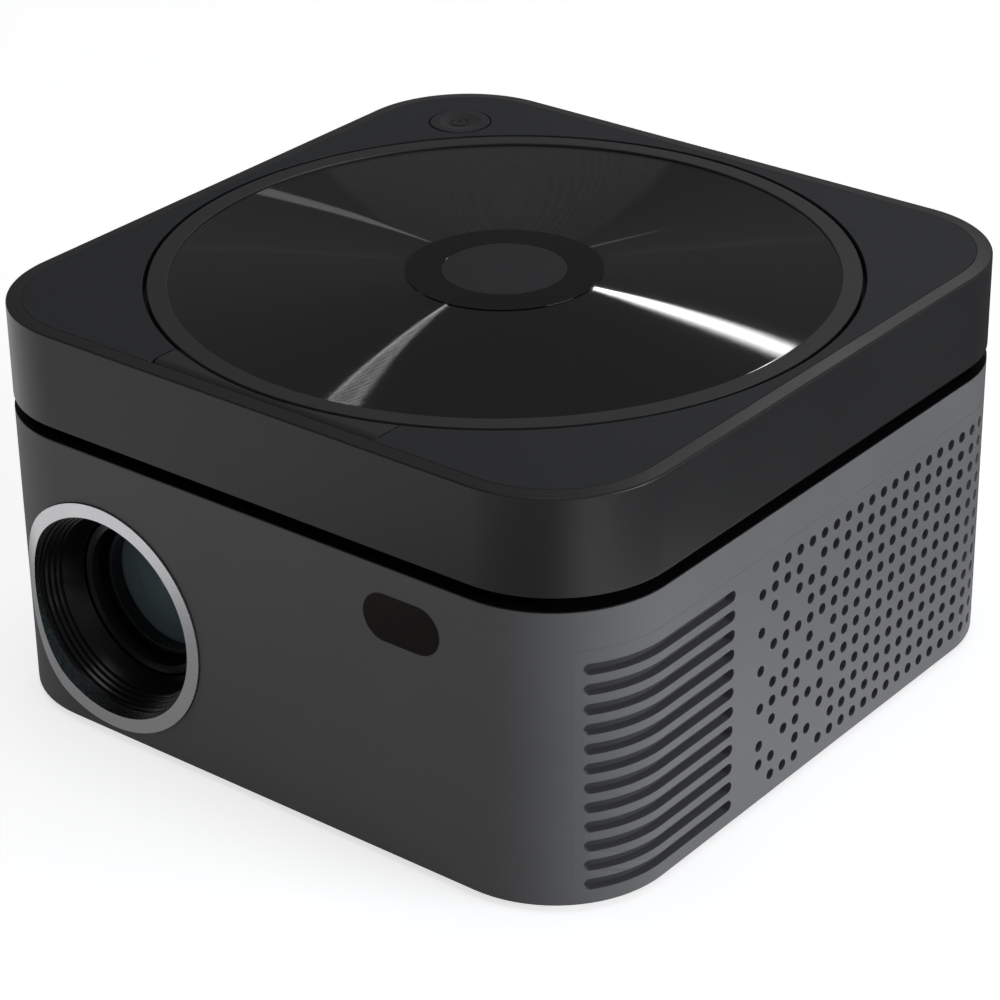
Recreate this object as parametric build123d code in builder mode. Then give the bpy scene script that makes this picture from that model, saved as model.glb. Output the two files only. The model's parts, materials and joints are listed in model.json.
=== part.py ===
from build123d import *

import os
from math import cos, pi, radians, sin, sqrt

os.makedirs("parts", exist_ok=True)

# A square projector with rounded corners and a top-loading disc player under a round lid.
# Millimetres. +Z is up, the lens looks along -Y, and the origin is on the table under the centre.

# ---------------------------------------------------------------- case sizes
body_side = 200.0
corner_radius = 32.4
wall = 2.4
foot_stand = 2.0
lower_height = 81.0
band_height = 3.6
band_recess = 3.0
upper_height = 25.7
rim_width = 4.2
rim_rise = 0.3
rim_edge_fillet = 0.5
flange_width = 6.0
flange_thickness = 2.0
base_thickness = 2.4
plate_thickness = 2.4
shelf_thickness = 2.0

# levels above the table
lower_base = foot_stand
base_top = lower_base + base_thickness
lower_top = lower_base + lower_height
upper_base = lower_top + band_height
upper_edge = upper_base + upper_height
plate_top = upper_edge + rim_rise
plate_base = plate_top - plate_thickness
half_side = body_side / 2
corner_centre = half_side - corner_radius

# ---------------------------------------------------------------- small clearances
running_gap = 0.05
fit_gap = 0.1
loose_gap = 0.35

# ---------------------------------------------------------------- lid and hinge
lid_land = 7.9
lid_gap = 1.1
lid_ring_width = 5.2
lid_ledge_width = 6.9
lid_thickness = 3.6
lid_plate_thickness = 1.0
lid_plate_sink = 0.3
lid_pocket_depth = 0.8
lid_pocket_inner = 20.0
lid_rib_count = 8
lid_rib_width = 1.6
hub_ring_radius = 25.8
hub_badge_radius = 16.3
hub_badge_thickness = 0.6
hub_clear_radius = 12.0
hub_clear_depth = 1.2
tab_left = -35.3
tab_right = 36.4
tab_overlap = 13.2
tab_groove_depth = 0.9
hinge_radius = 2.9
hinge_pin_radius = 1.25
hinge_pin_sink = 5.2
hinge_ear_width = 6.0
hinge_ear_drop = 3.8
hinge_ear_depth = 6.5
hinge_room = 3.0
striker_inset = 8.1
striker_width = 3.0
striker_thickness = 2.0
striker_length = 5.4
striker_bead = 0.4
striker_foot = 1.0

lid_radius = half_side - lid_land
lid_hole_radius = lid_radius + lid_gap
lid_plate_radius = lid_radius - lid_ring_width
lid_ledge_radius = lid_plate_radius - lid_ledge_width
lid_base = plate_top - lid_thickness
tab_root = tab_overlap - lid_hole_radius
tab_middle = (tab_left + tab_right) / 2
tab_width = tab_right - tab_left
tab_reach = half_side + tab_root
hinge_width = tab_width + 2 * hinge_ear_width
striker_y = lid_radius - striker_inset
hinge_y = -(half_side - rim_width - loose_gap - hinge_radius)
hinge_z = plate_top - hinge_radius
hinge_reach = half_side + hinge_y + hinge_ear_depth / 2 + hinge_room / 3
ear_base = plate_base - hinge_ear_drop

# ---------------------------------------------------------------- disc deck
well_floor_thickness = 1.6
disc_drop = 3.0
disc_radius = 60.0
disc_clearance = 2.5
well_drop = 1.6
well_shelf_gap = 1.2
well_wall_thickness = 1.4
well_wall_gap = 0.2
well_hub_hole = 16.5
finger_notch_radius = 13.0
finger_notch_turn = 45.0
deck_post_radius = 3.5
deck_post_x = 52.0
deck_post_y = 62.0
frame_window_corner = 6.0
cable_window_land = 19.0
cable_window_width = 46.0
cable_window_depth = 70.0
pickup_window_start = -4.0
pickup_window_width = 76.0
pickup_window_depth = 44.0
pickup_window_gap = 1.5
pickup_window_corner = 2.0

disc_seat = lid_base - disc_drop
cable_window_x = cable_window_land + cable_window_width / 2 - half_side
disc_recess_radius = disc_radius + disc_clearance
well_floor_top = disc_seat - well_drop
well_floor_base = well_floor_top - well_floor_thickness
well_shelf_top = lid_base - well_shelf_gap
well_shelf_base = well_shelf_top - well_floor_thickness
well_wall_inner = lid_hole_radius + well_wall_gap
well_wall_outer = well_wall_inner + well_wall_thickness

spindle_radius = 1.0
spindle_lift = 1.0
turntable_radius = 14.0
turntable_thickness = 2.4
turntable_pad_inner = 9.5
turntable_pad_outer = 13.4
turntable_pad_thickness = 0.8
disc_hub_radius = 7.4
disc_hub_height = 2.6
disc_hub_chamfer = 0.9
jaw_radius = 1.0
jaw_count = 3
jaw_stand = 0.35

deck_height = 14.5
chassis_thickness = 1.5
chassis_left = -20.0
chassis_half_depth = 44.0
chassis_end = 2.0
chassis_corner = 6.0
chassis_bridge = 5.0
chassis_lip = 2.0
spindle_motor_radius = 12.5
spindle_motor_height = 9.0
spindle_motor_chamfer = 1.0
damper_radius = 4.0
damper_neck = 2.2
damper_inset = 5.0
damper_cap = 2.0

rod_radius = 1.5
rod_y = 22.0
rod_lift = 5.7
rod_start = 8.0
rod_spare = 1.0
rod_tab_width = 7.0
rod_tab_thickness = 2.0
screw_y = -31.0
screw_radius = 1.5
screw_journal = 1.0
screw_end_gap = 0.3
screw_tail = 1.0
sled_travel = 35.0
sled_start = 14.0
sled_length = 26.0
sled_half_depth = 17.0
sled_lift = 2.0
sled_height = 8.1
sled_corner = 3.0
bush_inset = 2.0
bush_wall = 1.6
bush_web = 3.0
follower_inset = 8.0
follower_width = 6.0
follower_thickness = 2.0
follower_gap = 0.4
lens_home = 23.0
actuator_size = 16.0
actuator_height = 2.2
actuator_corner = 2.0
objective_radius = 2.6
objective_rise = 0.7
objective_fillet = 0.55
sled_motor_radius = 5.2
sled_motor_length = 13.0

# the deck hangs at a fixed height under the disc, on dampers that stand on the mid frame
chassis_top = disc_seat - deck_height
chassis_base = chassis_top - chassis_thickness
rod_z = chassis_top + rod_lift
sled_base = chassis_top + sled_lift
sled_top = sled_base + sled_height
actuator_top = sled_top + actuator_height
rod_end = sled_start + sled_length + sled_travel + rod_spare + rod_tab_thickness
chassis_right = rod_end + chassis_end

# ---------------------------------------------------------------- latch
latch_width = 12.0
latch_depth = 10.0
latch_travel = 1.2
latch_spring_room = 3.1
plunger_wall = 1.4
plunger_gap = 0.3
plunger_top_gap = 0.2
claw_height = 6.4

striker_base = lid_base - striker_length
pocket_width = striker_width + 2 * plunger_gap
pocket_depth = striker_thickness + 2 * striker_bead + 2 * plunger_gap
plunger_base = striker_base - plunger_gap - plunger_wall
plunger_width = pocket_width + 2 * plunger_wall
plunger_depth = pocket_depth + 2 * plunger_wall
latch_floor = plunger_base - latch_travel - latch_spring_room
latch_base = latch_floor - plunger_wall

# ---------------------------------------------------------------- power button
button_land = 11.56
button_turn = 135.1
button_radius = 8.6
button_gap = 0.35
button_flange = 1.2
button_flange_thickness = 1.3
button_flange_gap = 0.3
button_travel = 0.8
button_stem_radius = 2.0
button_stem_length = 3.0
button_stand = 0.2
button_dish_radius = 6.6
button_dish_depth = 0.5
button_chamfer = 0.25
key_board_size = 20.0
key_post_reach = 6.0
key_post_radius = 2.0
key_switch_size = 6.0
key_switch_height = 1.6
key_cap_radius = 1.7
key_cap_height = 0.6
key_cap_gap = 0.2
board_thickness = 1.6

button_x = (lid_hole_radius + button_land) * cos(radians(button_turn))
button_y = (lid_hole_radius + button_land) * sin(radians(button_turn))
button_top = plate_top + button_stand
button_flange_top = plate_base - button_flange_gap
button_flange_base = button_flange_top - button_flange_thickness
button_stem_base = button_flange_base - button_stem_length
key_board_top = button_stem_base - button_travel - key_cap_gap - key_cap_height - key_switch_height
key_board_base = key_board_top - board_thickness

# ---------------------------------------------------------------- front: lens and receiver window
lens_inset = 47.6
lens_height = 34.2
bezel_outer = 32.2
bezel_inner = 28.3
bezel_stand = 0.6
bezel_depth = 6.4
baffle_sink = 3.4
baffle_length = 11.4
baffle_back_radius = 23.0
baffle_wall = 1.4
baffle_flange = 1.6
baffle_lip = 1.0
baffle_rib_count = 4
baffle_rib_depth = 0.45
baffle_rib_start = 0.6
focus_sink = 15.1
focus_length = 24.9
focus_outer = 22.7
focus_inner = 20.45
focus_lip = 20.2
focus_lip_depth = 3.5
focus_chamfer = 0.5
focus_notch_count = 24
focus_notch_radius = 0.5
focus_notch_length = 8.0
sleeve_sink = 8.9
sleeve_wall = 1.35
sleeve_flange_radius = 26.0
sleeve_flange_thickness = 2.0
cell_sink = 19.5
cell_length = 30.5
glass_radius = 17.5
glass_sink = 0.9
glass_bulge = 3.2
glass_edge = 3.4
cell_stop_radius = 15.0
cell_chamfer = 0.4
window_inset = 53.3
window_drop = 14.1
window_width = 23.4
window_height = 13.0
window_flange = 1.4
window_flange_thickness = 1.0
receiver_gap = 4.0
receiver_air = 0.3
receiver_size = 5.2
receiver_board_width = 36.0
receiver_board_height = 10.0
receiver_boss_radius = 1.8

lens_x = lens_inset - half_side
lens_z = lower_base + lens_height
bezel_back = half_side - bezel_depth
baffle_front = half_side - baffle_sink
baffle_back = baffle_front - baffle_length
focus_front = half_side - focus_sink
focus_back = focus_front - focus_length
sleeve_front = focus_front - sleeve_sink
cell_front = half_side - cell_sink
cell_back = cell_front - cell_length
glass_front = cell_front - glass_sink
glass_rim = glass_front - glass_bulge
glass_back = glass_rim - glass_edge
window_x = half_side - window_inset
window_z = lower_top - window_drop
receiver_boss_reach = receiver_board_width / 2 - receiver_boss_radius

# ---------------------------------------------------------------- side vents
vent_pitch = 5.43
vent_rows = 12
vent_margin = 5.5
slot_height = 3.1
slot_start_angle = -38.1
slot_straight = 27.6
hole_radius = 1.5
hole_gap = 13.35
panel_start_angle = -45.0
panel_end_angle = 42.0
panel_margin = 3.6
filter_thickness = 1.0
filter_overlap = 7.0
cloth_thickness = 0.8
# rows left undrilled near the slots, for each column, so that the pattern thins out
bare_rows = {0: (0, 3, 5, 7, 9, 11), 1: (2, 6, 8), 2: (1, 3, 9), 3: (6, 8),
             4: (0, 2, 4, 10), 5: (1, 6), 6: (3, 9)}

vent_low = lower_base + vent_margin
slot_end_y = slot_straight - corner_centre
hole_first_y = slot_end_y + hole_gap
filter_end_y = slot_end_y + filter_overlap
panel_reach = corner_centre + corner_radius * radians(panel_end_angle) - panel_margin
hole_columns = 1 + int((panel_reach - hole_first_y) / vent_pitch)

intake_y = 10.0
intake_z = 38.0
intake_width = 84.0
intake_height = 50.0
intake_slot_length = 36.0
intake_slot_rows = 8
intake_gap = 4.0
intake_corner = 4.0
intake_lip = 2.0
intake_lip_inner = 3.0
intake_lip_thickness = 1.2

# ---------------------------------------------------------------- base
foot_radius = 7.5
foot_sink = 0.8
foot_inset = 28.0
foot_chamfer = 0.5
post_radius = 4.0
post_sink = 0.8
case_screw_radius = 1.5
case_screw_head = 3.0
case_screw_head_height = 1.4
case_screw_length = 12.0
tripod_y = -20.0
tripod_boss_radius = 8.0
tripod_boss_height = 4.0
tripod_nut_radius = 5.0
tripod_thread_radius = 3.175
base_slot_pitch = 8.0
base_slot_rows = 6
base_slot_margin = 3.0

# ---------------------------------------------------------------- projection engine
engine_base = 8.4
engine_top = 62.0
engine_wall = 2.0
engine_back = 42.0
engine_front = -engine_back
engine_land = 7.0
engine_taper = 8.0
engine_foot_inset = 12.0
engine_foot_step = 8.0
lcd_reach = 52.4
lamp_reach = 36.0
lamp_half = 20.0
lcd_width = 64.0
lcd_height = 46.0
lcd_thickness = 2.0
fresnel_offset = 7.0
fresnel_thickness = 1.6
fresnel_step = 8.0
condenser_radius = 19.0
condenser_inset = 12.0
condenser_thickness = 7.0
condenser_fillet = 4.2
condenser_foot = 3.0
condenser_foot_width = 12.0
condenser_foot_sink = 1.5
mirror_length = 92.0
mirror_height = 46.0
mirror_thickness = 2.0
lamp_plate = 30.0
lamp_plate_thickness = 3.0
lamp_window = 24.0
emitter_size = 12.0
emitter_height = 1.5
sink_base = 4.0
sink_width = 56.0
sink_height = 46.0
sink_gap = 5.0
sink_foot_width = 8.0
sink_foot_reach = 20.0
fin_count = 10
fin_thickness = 1.4

engine_left = engine_land - half_side
panel_plane_x = lens_x + lcd_reach
lamp_x = panel_plane_x + lamp_reach
condenser_x = lamp_x - condenser_inset

# ---------------------------------------------------------------- fan and speaker
fan_size = 60.0
fan_thickness = 15.0
fan_inset = 21.0
fan_shift = 24.6
fan_corner = 4.0
fan_screw_inset = 5.0
fan_screw_hole = 2.0
fan_bore = 28.4
fan_hub_radius = 12.0
fan_blade_radius = 27.6
fan_blade_count = 7
fan_blade_thickness = 1.4
fan_blade_share = 0.9
fan_blade_root = 2.0
fan_blade_tip_gap = 0.4
fan_running_gap = 0.8
fan_front_gap = 1.5
fan_shaft_gap = 0.3
fan_root_pitch = 52.0
fan_tip_pitch = 30.0
fan_shaft_radius = 1.5
fan_strut = 3.0
fan_strut_sink = 1.0
fan_back = 2.5

fan_x = half_side - fan_inset
fan_y = fan_shift - corner_centre
fan_z = base_top + fan_size / 2
sink_x = lamp_x + lamp_plate_thickness
sink_length = fan_x - sink_gap - sink_x

speaker_shift = 25.6
speaker_z = 40.0
speaker_radius = 22.0
speaker_rim = 1.6
speaker_rim_width = 2.0
speaker_surround = 1.0
speaker_dip = 1.2
speaker_coil_radius = 5.0
speaker_depth = 14.0
magnet_radius = 11.0
magnet_height = 6.0

speaker_y = corner_centre - speaker_shift
speaker_front = half_side - wall - cloth_thickness
speaker_back = speaker_front - speaker_depth

# ---------------------------------------------------------------- boards and sockets
main_board_inset = 16.0
main_board_land = 34.0
main_board_gap = 1.0
main_board_top = 62.0
main_chip_height = 2.0
# each chip: its middle from the board's left end and above the base, its width and its height
main_chips = [(36.0, 35.6, 20.0, 20.0), (66.0, 41.6, 12.0, 8.0), (66.0, 29.6, 12.0, 8.0),
              (94.0, 17.6, 8.0, 8.0), (94.0, 29.6, 8.0, 8.0)]
capacitor_inset = 10.0
capacitor_levels = (15.6, 25.6, 35.6)
capacitor_radius = 4.0
capacitor_height = 9.0
socket_z = 26.0
socket_stand = bezel_stand
hdmi_x = 44.0
hdmi_width = 15.0
hdmi_height = 6.0
hdmi_tongue = 1.2
hdmi_tongue_width = 12.0
usb_x = 20.0
usb_width = 14.4
usb_height = 7.0
usb_tongue = 1.8
usb_tongue_width = 11.4
usb_tongue_rise = 1.0
socket_shell = 0.5
socket_floor = 2.0
av_x = 0.0
headphone_x = -18.0
jack_nose = 3.4
jack_bore = 1.75
jack_depth = 14.0
jack_body = 8.0
dc_offset = 2.0
dc_z = 16.4
dc_body = 10.0
dc_body_depth = 14.0
dc_bore = 2.9
dc_pin = 1.0
dc_nose = 4.4
dc_depth = 9.5
power_board_land = 37.0
power_board_inset = 22.0
power_board_width = 32.0
power_board_depth = 32.0
power_coil_radius = 5.0
power_coil_height = 14.0
power_coil_reach = 9.0
power_coil_shift = 8.0
power_chip_width = 7.0
power_chip_depth = 12.0
power_chip_height = 10.0
standoff_height = 4.0
standoff_inset = 3.0

power_board_x = power_board_land - half_side
power_board_y = half_side - power_board_inset
dc_x = power_board_x + dc_offset
main_board_y = half_side - main_board_inset
main_board_right = half_side - main_board_land
main_board_left = power_board_x + power_board_width / 2 + main_board_gap


def outline(inset, mode=Mode.ADD):
    """The case's plan, a square with round corners, drawn in by inset."""
    return RectangleRounded(body_side - 2 * inset, body_side - 2 * inset, corner_radius - inset, mode=mode)


def side_sector(start_angle, end_angle):
    """Corners of the plan region that holds the right side from one corner's angle to the other's."""
    reach = 2 * corner_radius
    near = (corner_centre, -corner_centre)
    far = (corner_centre, corner_centre)
    near_out = (near[0] + reach * cos(radians(start_angle)), near[1] + reach * sin(radians(start_angle)))
    far_out = (far[0] + reach * cos(radians(end_angle)), far[1] + reach * sin(radians(end_angle)))
    return near, near_out, far_out, far


def side_from_near_corner(start_angle, end_y):
    """Corners of the plan region from an angle of the near right corner to a place along the side."""
    near, near_out = side_sector(start_angle, 0)[:2]
    return near, near_out, (half_side + 2 * corner_radius, end_y), (corner_centre, end_y)


def side_to_far_corner(start_y, end_angle):
    """Corners of the plan region from a place along the side to an angle of the far right corner."""
    far_out, far = side_sector(0, end_angle)[2:]
    return (corner_centre, start_y), (half_side + 2 * corner_radius, start_y), far_out, far


def side_plane(travel, level):
    """A plane on the right side's skin, travel along it from its middle, its normal out of the skin."""
    past = abs(travel) - corner_centre
    if past <= 0:
        return Plane(origin=(half_side, travel, level), z_dir=(1, 0, 0))
    turn = past / corner_radius * (1 if travel > 0 else -1)
    centre_y = corner_centre if travel > 0 else -corner_centre
    place = (corner_centre + corner_radius * cos(turn), centre_y + corner_radius * sin(turn), level)
    return Plane(origin=place, z_dir=(cos(turn), sin(turn), 0))


vent_levels = [vent_low + vent_pitch * row for row in range(vent_rows)]
panel_base = vent_levels[0] - slot_height / 2 - panel_margin / 2
panel_top = vent_levels[-1] + slot_height / 2 + panel_margin
post_reach = corner_radius - wall - post_radius + post_sink
post_spread = corner_centre + post_reach / sqrt(2)
post_places = [(sx * post_spread, sy * post_spread) for sx in (-1, 1) for sy in (-1, 1)]
deck_places = [(sx * deck_post_x, sy * deck_post_y) for sx in (-1, 1) for sy in (-1, 1)]
foot_spread = half_side - foot_inset
foot_places = [(sx * foot_spread, sy * foot_spread) for sx in (-1, 1) for sy in (-1, 1)]
engine_feet = [(engine_left + engine_foot_inset, engine_front + engine_foot_step),
               (panel_plane_x - engine_foot_inset, engine_front + engine_foot_step),
               (panel_plane_x - engine_foot_inset, engine_back - engine_foot_inset),
               (lamp_x - engine_foot_step, 0)]
board_feet = [(power_board_x + sx * (power_board_width / 2 - standoff_inset),
               power_board_y + sy * (power_board_depth / 2 - standoff_inset))
              for sx in (-1, 1) for sy in (-1, 1)]
mirror_plane = Plane(origin=(lens_x, 0, engine_base + engine_wall), x_dir=(1, 1, 0), z_dir=(0, 0, 1))
lens_plane = Plane(origin=(lens_x, 0, lens_z))
lens_axis = Axis((lens_x, 0, lens_z), (0, 1, 0))

# ================================================================ base

with BuildPart() as base_plate:
    with BuildSketch(Plane.XY.offset(lower_base)):
        outline(wall)
    extrude(amount=base_thickness)
    with BuildSketch(Plane.XY.offset(base_top)):
        with Locations((0, tripod_y)):
            Circle(tripod_boss_radius)
    extrude(amount=tripod_boss_height)
    with BuildSketch(Plane.XY.offset(base_top)):
        with Locations(*engine_feet):
            Circle(post_radius)
    extrude(amount=engine_base - base_top)
    with BuildSketch(Plane.XY.offset(base_top)):
        with Locations(*board_feet):
            Circle(post_radius / 2)
    extrude(amount=standoff_height)
    with BuildSketch(Plane.XY.offset(lower_base)):
        with Locations((0, tripod_y)):
            Circle(tripod_nut_radius)
    extrude(amount=base_thickness + tripod_boss_height, mode=Mode.SUBTRACT)
    with BuildSketch(Plane.XY.offset(lower_base)):
        with Locations(*foot_places):
            Circle(foot_radius)
    extrude(amount=foot_sink, mode=Mode.SUBTRACT)
    with BuildSketch(Plane.XY.offset(lower_base)):
        with Locations(*post_places):
            Circle(case_screw_radius)
    extrude(amount=base_thickness, mode=Mode.SUBTRACT)
    with BuildSketch(Plane.XY.offset(lower_base)):
        with Locations((sink_x + sink_length / 2, 0)):
            with GridLocations(0, base_slot_pitch, 1, base_slot_rows):
                SlotOverall(sink_length - 2 * base_slot_margin, slot_height)
    extrude(amount=base_thickness, mode=Mode.SUBTRACT)
    # relief for the lens bezel, which reaches down past the plate's top
    with BuildSketch(Plane.XZ.offset(half_side)):
        with Locations((lens_x, lens_z)):
            Circle(bezel_outer + fit_gap)
    extrude(amount=-(half_side - bezel_back + baffle_flange + fit_gap), mode=Mode.SUBTRACT)

with BuildPart() as rubber_feet:
    with BuildSketch(Plane.XY):
        with Locations(*foot_places):
            Circle(foot_radius)
    extrude(amount=foot_stand + foot_sink)
    chamfer(rubber_feet.edges().group_by(Axis.Z)[0], foot_chamfer)

with BuildPart() as case_screws:
    with BuildSketch(Plane.XY.offset(lower_base - case_screw_head_height)):
        with Locations(*post_places):
            Circle(case_screw_head)
    extrude(amount=case_screw_head_height)
    with BuildSketch(Plane.XY.offset(lower_base)):
        with Locations(*post_places):
            Circle(case_screw_radius - running_gap)
    extrude(amount=case_screw_length)

with BuildPart() as tripod_nut:
    with BuildSketch(Plane.XY.offset(lower_base)):
        with Locations((0, tripod_y)):
            Circle(tripod_nut_radius)
            Circle(tripod_thread_radius, mode=Mode.SUBTRACT)
    extrude(amount=base_thickness + tripod_boss_height)

# ================================================================ lower housing and its insets

with BuildPart() as lower_housing:
    with BuildSketch(Plane.XY.offset(lower_base)):
        outline(0)
        outline(wall, mode=Mode.SUBTRACT)
    extrude(amount=lower_height)
    # inner flange that carries the mid frame
    with BuildSketch(Plane.XY.offset(lower_top - flange_thickness)):
        outline(wall)
        outline(wall + flange_width, mode=Mode.SUBTRACT)
    extrude(amount=flange_thickness)
    # screw posts in the four corners
    with BuildSketch(Plane.XY.offset(base_top)):
        with Locations(*post_places):
            Circle(post_radius)
        outline(wall / 2, mode=Mode.INTERSECT)
    extrude(amount=lower_top - base_top)
    with BuildSketch(Plane.XY.offset(base_top)):
        with Locations(*post_places):
            Circle(case_screw_radius)
    extrude(amount=case_screw_length, mode=Mode.SUBTRACT)
    # window for the vented side
    with BuildSketch(Plane.XY.offset(panel_base)):
        Polygon(*side_sector(panel_start_angle, panel_end_angle), align=None)
        outline(-1, mode=Mode.INTERSECT)
        outline(wall + filter_thickness, mode=Mode.SUBTRACT)
    extrude(amount=panel_top - panel_base, mode=Mode.SUBTRACT)
    # lens hole
    with BuildSketch(Plane.XZ.offset(half_side)):
        with Locations((lens_x, lens_z)):
            Circle(bezel_outer + fit_gap)
    extrude(amount=-2 * bezel_depth, mode=Mode.SUBTRACT)
    # receiver window and the bosses of its board
    with BuildSketch(Plane.XZ.offset(half_side)):
        with Locations((window_x, window_z)):
            SlotOverall(window_width, window_height)
    extrude(amount=-wall, mode=Mode.SUBTRACT)
    with BuildSketch(Plane.XZ.offset(half_side - wall)):
        with Locations((window_x - receiver_boss_reach, window_z), (window_x + receiver_boss_reach, window_z)):
            Circle(receiver_boss_radius)
    extrude(amount=-receiver_gap)
    # opening for the intake grille
    with BuildSketch(Plane.YZ.offset(-half_side)):
        with Locations((intake_y, intake_z)):
            RectangleRounded(intake_width, intake_height, intake_corner)
    extrude(amount=wall, mode=Mode.SUBTRACT)
    # sockets in the rear wall
    with BuildSketch(Plane.XZ.offset(-half_side)):
        with Locations((av_x, socket_z), (headphone_x, socket_z)):
            Circle(jack_nose + fit_gap)
        with Locations((dc_x, dc_z)):
            Circle(dc_nose + fit_gap)
        with Locations((hdmi_x, socket_z)):
            Rectangle(hdmi_width + 2 * fit_gap, hdmi_height + 2 * fit_gap)
        with Locations((usb_x, socket_z)):
            Rectangle(usb_width + 2 * fit_gap, usb_height + 2 * fit_gap)
    extrude(amount=wall, mode=Mode.SUBTRACT)

with BuildPart() as side_grille:
    with BuildSketch(Plane.XY.offset(panel_base)):
        outline(0)
        outline(wall, mode=Mode.SUBTRACT)
        Polygon(*side_sector(panel_start_angle, panel_end_angle), align=None, mode=Mode.INTERSECT)
    extrude(amount=panel_top - panel_base)
    # long slots that wrap round the near corner
    for level in vent_levels:
        with BuildSketch(Plane.XY.offset(level - slot_height / 2)):
            outline(-1)
            outline(wall + 1, mode=Mode.SUBTRACT)
            Polygon(*side_from_near_corner(slot_start_angle, slot_end_y), align=None, mode=Mode.INTERSECT)
        extrude(amount=slot_height, mode=Mode.SUBTRACT)
    slot_start = -(corner_centre + corner_radius * radians(-slot_start_angle))
    slot_ends = [side_plane(travel, level) for level in vent_levels for travel in (slot_start, slot_end_y)]
    with Locations(*slot_ends):
        Cylinder(slot_height / 2, 4 * wall, mode=Mode.SUBTRACT)
    # round holes over the rest of the side
    holes = [side_plane(hole_first_y + vent_pitch * column, level)
             for column in range(hole_columns)
             for row, level in enumerate(vent_levels)
             if row not in bare_rows.get(column, ())]
    with Locations(*holes):
        Cylinder(hole_radius, 4 * wall, mode=Mode.SUBTRACT)

with BuildPart() as dust_filter:
    with BuildSketch(Plane.XY.offset(base_top)):
        outline(wall)
        outline(wall + filter_thickness, mode=Mode.SUBTRACT)
        Polygon(*side_from_near_corner(panel_start_angle + 1, filter_end_y), align=None, mode=Mode.INTERSECT)
    extrude(amount=panel_top - base_top)

with BuildPart() as speaker_cloth:
    with BuildSketch(Plane.XY.offset(base_top)):
        outline(wall)
        outline(wall + cloth_thickness, mode=Mode.SUBTRACT)
        Polygon(*side_to_far_corner(filter_end_y + 1, panel_end_angle - 1), align=None, mode=Mode.INTERSECT)
    extrude(amount=panel_top - base_top)

with BuildPart() as intake_grille:
    with BuildSketch(Plane.YZ.offset(-half_side)):
        with Locations((intake_y, intake_z)):
            RectangleRounded(intake_width, intake_height, intake_corner)
            with GridLocations(intake_slot_length + intake_gap, vent_pitch, 2, intake_slot_rows):
                SlotOverall(intake_slot_length, slot_height, mode=Mode.SUBTRACT)
    extrude(amount=wall)
    # retaining lip behind the wall
    with BuildSketch(Plane.YZ.offset(-half_side + wall)):
        with Locations((intake_y, intake_z)):
            RectangleRounded(intake_width + 2 * intake_lip, intake_height + 2 * intake_lip,
                             intake_corner + intake_lip)
            RectangleRounded(intake_width - 2 * intake_lip_inner, intake_height - 2 * intake_lip_inner,
                             intake_corner - intake_lip_inner, mode=Mode.SUBTRACT)
    extrude(amount=intake_lip_thickness)

with BuildPart() as mid_frame:
    with BuildSketch(Plane.XY.offset(lower_top)):
        outline(band_recess)
        with Locations((cable_window_x, 0)):
            RectangleRounded(cable_window_width, cable_window_depth, frame_window_corner, mode=Mode.SUBTRACT)
        with Locations((pickup_window_start + pickup_window_width / 2, 0)):
            RectangleRounded(pickup_window_width, pickup_window_depth, frame_window_corner, mode=Mode.SUBTRACT)
    extrude(amount=band_height)
    # posts that carry the disc well
    with BuildSketch(Plane.XY.offset(upper_base)):
        with Locations(*deck_places):
            Circle(deck_post_radius)
    extrude(amount=well_shelf_base - upper_base)
    # posts that carry the key board
    with BuildSketch(Plane.XY.offset(upper_base)):
        with Locations((button_x - key_post_reach, button_y), (button_x + key_post_reach, button_y)):
            Circle(key_post_radius)
    extrude(amount=key_board_base - upper_base)

# ================================================================ upper housing and top plate

with BuildPart() as upper_housing:
    with BuildSketch(Plane.XY.offset(upper_base)):
        outline(0)
    extrude(amount=upper_height)
    # the rim slopes up to the top plate
    with BuildSketch(Plane.XY.offset(upper_edge)):
        outline(0)
    with BuildSketch(Plane.XY.offset(plate_top)):
        outline(rim_width)
    loft()
    fillet(upper_housing.edges().filter_by_position(Axis.Z, upper_edge - 0.01, upper_edge + 0.01),
           rim_edge_fillet)
    with BuildSketch(Plane.XY.offset(plate_base)):
        outline(rim_width)
    extrude(amount=plate_thickness + 1, mode=Mode.SUBTRACT)
    with BuildSketch(Plane.XY.offset(upper_base + flange_thickness)):
        outline(wall)
    extrude(amount=plate_base - upper_base - flange_thickness, mode=Mode.SUBTRACT)
    with BuildSketch(Plane.XY.offset(upper_base)):
        outline(wall + flange_width)
    extrude(amount=flange_thickness, mode=Mode.SUBTRACT)
    # corner shelves under the top plate, cut away round the lid, the hinge and the power button
    with BuildSketch(Plane.XY.offset(plate_base - shelf_thickness)):
        outline(wall / 2)
        Circle(well_wall_outer + fit_gap, mode=Mode.SUBTRACT)
        with Locations((tab_middle, -half_side)):
            Rectangle(hinge_width + 2 * hinge_room, 2 * tab_reach, mode=Mode.SUBTRACT)
        with Locations((button_x, button_y)):
            Circle(button_radius + button_flange + button_gap, mode=Mode.SUBTRACT)
    extrude(amount=shelf_thickness)

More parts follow.
